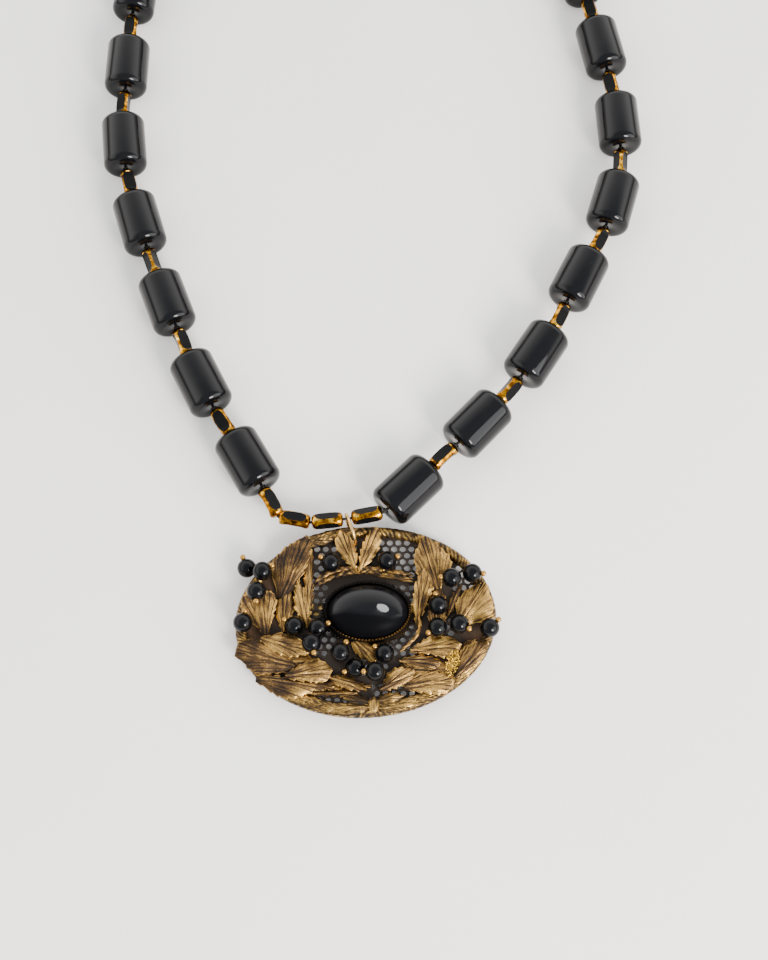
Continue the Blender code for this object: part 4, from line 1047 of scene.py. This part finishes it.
def make_setting():
    """The collar with its sawn edge."""
    steps, points, marks = TEETH * 4, [], []
    for k in range(steps):
        turn = 2 * math.pi * k / steps
        tooth = 1 - abs(2 * ((k / 4) % 1) - 1)
        crest = 0.25 + 0.9 * tooth
        for out, z, worn in ((0.30, 0.0, 0.1), (1.30, 0.0, 0.15), (1.15, 0.5, 0.55), (0.85, 1.0, 0.2),
                             (0.75, 1.7, 0.3), (0.70 - 0.15 * tooth, 1.9 + 0.55 * tooth, crest),
                             (0.45 - 0.15 * tooth, 1.85 + 0.55 * tooth, crest), (0.28, 1.3, 0.0)):
            points.append(stone_oval(turn, out, z))
            # Wear makes the tooth tops lighter, and a painted highlight makes the collar brightest at the
            # front right and dark round the back and left.
            marks.append((worn * (0.12 + 0.88 * wear_and_painted_highlight(turn) ** 0.7), 0.0, 0.0, 0.0))
    return points, skin(steps, 8, round_rows=True), marks


def make_grains():
    """The row of grains round the collar's foot."""
    parts = []
    for turn in (2 * math.pi * k / GRAINS for k in range(GRAINS)):
        points, faces = ball(stone_oval(turn, 1.35, 0.30), GRAIN_RADIUS, 10, 6)
        # The grains get the same painted highlight, brightest at the front right and dark round the back and
        # left.
        parts.append((points, faces, even_marks(points, 0.05 + 0.35 * wear_and_painted_highlight(turn))))
    return merge(parts)


for name, (points, faces, marks), sharp in (("sawn_setting", make_setting(), 35),
                                            ("setting_grains", make_grains(), 40)):
    make_piece(name, points, faces, [setting_brass], "bezel", marks=marks, sharp=sharp)
print("teeth:", TEETH, "grains:", GRAINS)

# %% Stone
STONE_SIDES, STONE_BANDS = 96, 26


def scuff_at(point):
    """How scuffed the stone is: all of its edge and its lower half, with a ragged limit."""
    x, y = 2 * (point.x - stone.x) / STONE_LENGTH, 2 * (point.y - stone.y) / STONE_WIDTH
    edge = (math.hypot(x, y) - 0.82) / 0.12
    lower = (-0.06 - 0.12 * x - y + 0.15 * noise.noise(Vector((3 * x, 3 * y, 0)))) / 0.22
    return min(max(edge, lower, 0.0), 1.0)


def make_stone():
    """The polished cabochon."""
    rows = [(1.0, 0.0)]
    for a in (math.pi / 2 * k / STONE_BANDS for k in range(STONE_BANDS)):
        rows.append((math.cos(a) ** 0.9, STONE_GIRDLE + (STONE_HEIGHT - STONE_GIRDLE) * math.sin(a)))
    points = [Vector((stone.x + STONE_LENGTH / 2 * share * c, stone.y + STONE_WIDTH / 2 * share * s,
                      SEAT_HEIGHT + height)) for share, height in rows for c, s in spokes(STONE_SIDES)]
    points.append(Vector((stone.x, stone.y, SEAT_HEIGHT + STONE_HEIGHT)))
    top = len(points) - 1
    faces = skin(len(rows), STONE_SIDES) + [tuple(range(STONE_SIDES))[::-1]]
    faces += fan(top - STONE_SIDES, STONE_SIDES, top)
    return make_piece("black_cabochon", points, faces, [stone_glass], "cabochon",
                      marks=[(scuff_at(p),) for p in points], names=("scuff",), sharp=50)


cabochon = make_stone()
print("stone height in mm:", round(STONE_HEIGHT / MM, 1))

# %% [markdown]
# ## Berries
# The berries are small round glass beads, each on a brass headpin whose ball end shows like the stalk
# of a currant. Both are true spheres, and the pin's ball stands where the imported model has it. A few
# berries stand high, each on a short brass post.

# %% Berries
BERRY_DIAMETER, HEADPIN_BALL, POST_RADIUS = 4.9 * MM, 1.5 * MM, 0.5 * MM
HEADPIN_TILT = math.radians(18)
# For each berry: x and y in millimetres, the headpin's heading in degrees, and its rise in diameters.
BERRIES = (
    (-30.44, 13.58, 112, -0.445), (-26.2, 11.7, 25, 0.30), (-27.4, 6.0, 272, 0.58),
    (-30.7, -1.7, 80, 0.30), (-17.9, -2.2, 150, 0.0), (-12.0, -2.7, 20, 0.0),
    (-13.4, -7.2, 285, 0.56), (-8.9, 14.4, 155, 0.0), (5.4, 14.9, 18, 0.0),
    (-6.2, -9.6, 60, 0.50), (-2.6, -12.9, 205, 0.0), (2.4, -14.3, 185, 0.45),
    (4.7, -9.3, 148, 0.06), (21.6, 9.6, 182, 0.56), (26.9, 11.2, 352, 0.30),
    (18.2, 2.7, 105, 0.36), (17.9, -3.0, 215, 0.36), (23.4, -2.2, 328, 0.42),
    (31.0, -3.0, 40, 0.30),
)
ON_POST = (7, 10, 12, 17, 18)
for number, (x, y, heading, rise) in enumerate(BERRIES, 1):
    radius, turn = BERRY_DIAMETER / 2, math.radians(heading)
    middle = Vector((brooch.x + x * MM, brooch.y + y * MM, SEAT_HEIGHT + rise * BERRY_DIAMETER + radius))
    out = Vector((math.cos(turn) * math.cos(HEADPIN_TILT), math.sin(turn) * math.cos(HEADPIN_TILT),
                  math.sin(HEADPIN_TILT)))
    # Points, faces, ridge and tone of the berry, the headpin's ball and the post.
    parts = [ball(middle, radius, 56, 28) + (0.6, 0.0),
             ball(middle + out * (radius + HEADPIN_BALL / 3), HEADPIN_BALL / 2, 20, 12) + (0.7, 0.3)]
    if number in ON_POST:
        parts.append(column(middle, POST_RADIUS, POST_RADIUS, SEAT_HEIGHT, middle.z, 16) + (0.3, 0.0))
    points, faces, marks, which = merge([(p, f, even_marks(p, ridge, tone), [min(k, 1)] * len(f))
                                         for k, (p, f, ridge, tone) in enumerate(parts)])
    make_piece(f"glass_berry_{number:02d}", points, faces, [berry_glass, headpin_brass],
               f"berry_{number:02d}", which, marks)
print("berries:", len(BERRIES))

# %% [markdown]
# ## Grains of gold
# A small patch on the right was sprinkled with gilt filings before soldering, and it glitters. Each
# grain is a tiny ball half sunk in the leaf below it.

# %% Gold grains
FILINGS = 210


def gold_grains():
    """A patch of tiny balls on the right-hand leaves."""
    chance = random.Random(4)
    parts = []
    while len(parts) < FILINGS:
        along, across = chance.random(), chance.uniform(-1, 1)
        if abs(across) > math.sin(math.pi * (0.08 + 0.84 * along)):
            continue
        spot = seen(21.0 + 1.4 * along + 1.7 * across, -15.0 + 7.2 * along, 5.2 + 0.3 * chance.random())
        points, faces = ball(spot, chance.uniform(0.11, 0.23) * MM, 7, 5)
        parts.append((points, faces, even_marks(points, 0.35 + 0.8 * chance.random())))
    return merge(parts)


points, faces, marks = gold_grains()
make_piece("gold_grains", points, faces, [filing_brass], "leaves_right_lower", marks=marks)
print("filings:", FILINGS)

# %% [markdown]
# ## Jump ring
# A ring of drawn gold-filled wire links the thread and the brooch. It is round wire bent round, with a
# fine cut where its ends meet, so it is swept as a ring with a tiny groove at the join.

# %% Jump ring
RING_DIAMETER, RING_WIRE = 8.4 * MM, 0.8 * MM
RING_SIDES, WIRE_SIDES, JOIN_AT = 96, 20, 40
RING_HEADING = math.radians(-72)
# Drawn wire is bright and pale, with draw marks about 0.02 mm apart, drawn at 0.2 mm so that they show.
drawn_wire = grained("drawn_gold_filled_wire", 0.2, 4.0, [(0.25, "#B98B45"), (0.75, "#F0CE8A")],
                     (0.18, 0.34), Metallic=1.0)
ring = middle_of("jump_ring")
heading = Vector((math.cos(RING_HEADING), math.sin(RING_HEADING), 0))
across = Vector((-heading.y, heading.x, 0))
points = []
for k, (c, s) in enumerate(spokes(RING_SIDES)):
    out = heading * c + Vector((0, 0, 1)) * s
    wire = RING_WIRE / 2 * (0.8 if k == JOIN_AT else 1.0)
    points += [ring + out * RING_DIAMETER / 2 + (out * a + across * b) * wire for a, b in spokes(WIRE_SIDES)]
make_piece("wire_jump_ring", points, skin(RING_SIDES, WIRE_SIDES, round_rows=True), [drawn_wire],
           "jump_ring")
print("ring middle in mm:", [round(c / MM, 1) for c in ring])

# %% [markdown]
# ## Clasp and pin
# Neither shows in the photo. The clasp is a plain turned barrel with a grip ring, and the brooch pin is
# a bar with a hinge, a catch and a stem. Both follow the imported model's sizes.

# %% Clasp
CLASP_SIDES = 48
# Radius and place along the barrel, in millimetres.
CLASP_PROFILE = ((0.7, -5.0), (0.7, -7.0), (1.6, -7.0), (1.75, -6.8), (2.6, -5.6), (3.0, -5.0), (3.0, -0.5),
                 (2.8, -0.4), (2.8, -0.15), (3.0, 0.0), (3.0, 4.0), (2.9, 4.1), (2.9, 4.4), (3.0, 4.5),
                 (3.0, 5.0), (2.6, 5.6), (1.75, 6.8), (1.6, 7.0), (0.7, 7.0), (0.7, 5.0))
_, clasp_middle, clasp_way = next(piece for piece in placed if piece[0] == "clasp")
points = turned([(r * MM, h * MM) for r, h in CLASP_PROFILE], clasp_middle, clasp_way, CLASP_SIDES)
make_piece("barrel_clasp", points,
           skin(len(CLASP_PROFILE), CLASP_SIDES) + ends(CLASP_SIDES, len(points) - CLASP_SIDES),
           [clasp_brass], "clasp", marks=even_marks(points, 0.6, 0.3), sharp=30)
print("clasp at mm:", [round(c / MM, 1) for c in clasp_middle])

# %% Brooch pin
pin_low, pin_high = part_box("brooch_pin")
pin = (pin_low + pin_high) / 2


def bar(x0, x1, wide, z0, z1, bevel):
    """Points, faces and marks of a bar with bevelled edges."""
    points = []
    for x in (x0, x0 + bevel, x1 - bevel, x1):
        pinch = bevel if x in (x0, x1) else 0.0
        edge, inner, low, high = wide / 2 - pinch, wide / 2 - bevel - pinch, z0 + pinch, z1 - pinch
        points += [Vector((pin.x + x, pin.y + y, z)) for y, z in (
            (-inner, low), (inner, low), (edge, low + bevel), (edge, high - bevel),
            (inner, high), (-inner, high), (-edge, high - bevel), (-edge, low + bevel))]
    return points, skin(4, 8) + ends(8, 24), even_marks(points, 0.55)


half = (pin_high.x - pin_low.x) / 2
foot, top = 4 * MM, pin_high.z - 0.4 * MM
points, faces, marks = merge([
    bar(-half, half, 3.0 * MM, pin_high.z - 0.8 * MM, pin_high.z, 0.12 * MM),
    bar(-half, -half + foot, 2.6 * MM, 0.0, top, 0.2 * MM),
    bar(half - foot, half, 2.6 * MM, 0.0, top, 0.2 * MM),
    bar(-half + foot / 2, half - foot / 2, 0.7 * MM, 0.1 * MM, 0.8 * MM, 0.15 * MM)])
make_piece("pin_bar", points, faces, [clasp_brass], "brooch_pin", marks=marks, sharp=30)
print("pin length in mm:", round(2 * half / MM, 1))

# %% [markdown]
# ## Table and light
# The table is matt pale paper. White walls behind and beside it give the even light, and the glass
# mirrors them as a dark grey. The front of the room and a patch round the camera are dimmer, which
# keeps the tops of the beads black. A panel in front on the right puts the bright spots on the berries
# and makes the soft shadows, and a large one lower on the right draws the long streaks on the beads. A
# small one at the back right shines on the stone alone and makes its bright spot.

# %% Table
TABLE_SIDE = 6


def matt_paper():
    """Matt pale paper with a faint tooth, and clouds of tone 90 mm wide."""
    material, tree = new_finish("matt_pale_paper")
    # The tooth of real paper is about 0.3 mm wide, drawn at 1.2 mm so that it shows.
    place = add(tree, "TexCoord", out="Object")
    tooth, cloud = [add(tree, "TexNoise", {"Vector": place, "Scale": per_mm(size), "Detail": detail})
                    for size, detail in ((1.2, 5.0), (90, 2.0))]
    both = add(tree, "Math", {0: tooth, 1: 0.4, 2: cloud}, operation="MULTIPLY_ADD")
    return dress(material, IOR=1.45,
                 Base_Color=add(tree, "ValToRGB", {"Fac": both}, [(0.4, "#F2EEEB"), (1.0, "#F7F4F1")]),
                 Roughness=add(tree, "MapRange", {"Value": tooth, "To Min": 0.85, "To Max": 0.95}),
                 Normal=add(tree, "Bump", {"Height": tooth, "Strength": 0.12, "Distance": 0.05 * MM}))


side = TABLE_SIDE / 2
floor_mesh = bpy.data.meshes.new("table")
floor_mesh.from_pydata([(-side, -side, 0), (side, -side, 0), (side, side, 0), (-side, side, 0)], [],
                       [(0, 1, 2, 3)])
floor_mesh.materials.append(matt_paper())
floor = bpy.data.objects.new("table", floor_mesh)
bpy.context.scene.collection.objects.link(floor)
print("table side in m:", TABLE_SIDE)

# %% Light
def softbox(name, toward, distance, width, height, watts, colour="#FFFFFF"):
    """A flat soft light that faces the stone from a direction."""
    lamp = bpy.data.lights.new(name, "AREA")
    lamp.shape, lamp.size, lamp.size_y = "ELLIPSE", width, height
    lamp.energy, lamp.color = watts, linear(colour)[:3]
    item = bpy.data.objects.new(name, lamp)
    way = Vector(toward).normalized()
    item.location = stone + way * distance
    item.rotation_euler = way.to_track_quat("Z", "Y").to_euler()
    bpy.context.scene.collection.objects.link(item)
    return item


softbox("panel_front_right", (0.49, -0.67, 0.56), 0.9, 0.28, 0.42, 14.0, "#FFFAF4")
softbox("panel_right_low", (0.78, -0.41, 0.47), 0.9, 0.75, 0.75, 9.0)
stone_light = softbox("panel_back_right", (0.29, 0.24, 0.86), 0.4, 0.15, 0.11, 1.6)
only_stone = bpy.data.collections.new("lit_by_panel_back_right")
only_stone.objects.link(cabochon)
stone_light.light_linking.receiver_collection = only_stone


def studio_sky():
    """White walls behind and beside the table, a dim front, and a dim patch round the camera."""
    world = bpy.data.worlds.new("studio")
    world.use_nodes = True
    tree = world.node_tree
    way = add(tree, "TexCoord", out="Generated")
    toward = add(tree, "VectorMath", {0: way, 1: (0.25, -0.45, 0.86)}, out="Value", operation="DOT_PRODUCT")
    front, rise = (add(tree, "SeparateXYZ", {"Vector": way}, out=axis) for axis in "YZ")
    cap, back = [add(tree, "MapRange", {"Value": value, "From Min": low, "From Max": high},
                     interpolation_type="SMOOTHSTEP")
                 for value, low, high in ((toward, 0.48, 0.74), (front, -0.85, -0.25))]
    walls = add(tree, "ValToRGB", {"Fac": rise}, [(0.0, "#6E6C6A"), (0.12, "#7C7A78"), (0.34, "#FFFDFA"),
                                                  (0.55, "#F6F4F2"), (0.95, "#96989A")])
    room = add(tree, "Mix", {0: back, 6: linear("#7A7C7E"), 7: walls}, out=2, data_type="RGBA")
    sky = add(tree, "Mix", {0: cap, 6: room, 7: linear("#82878C")}, out=2, data_type="RGBA")
    for name, value in (("Color", sky), ("Strength", 4.3)):
        put(tree, tree.nodes["Background"].inputs[name], value)
    return world


bpy.context.scene.world = studio_sky()
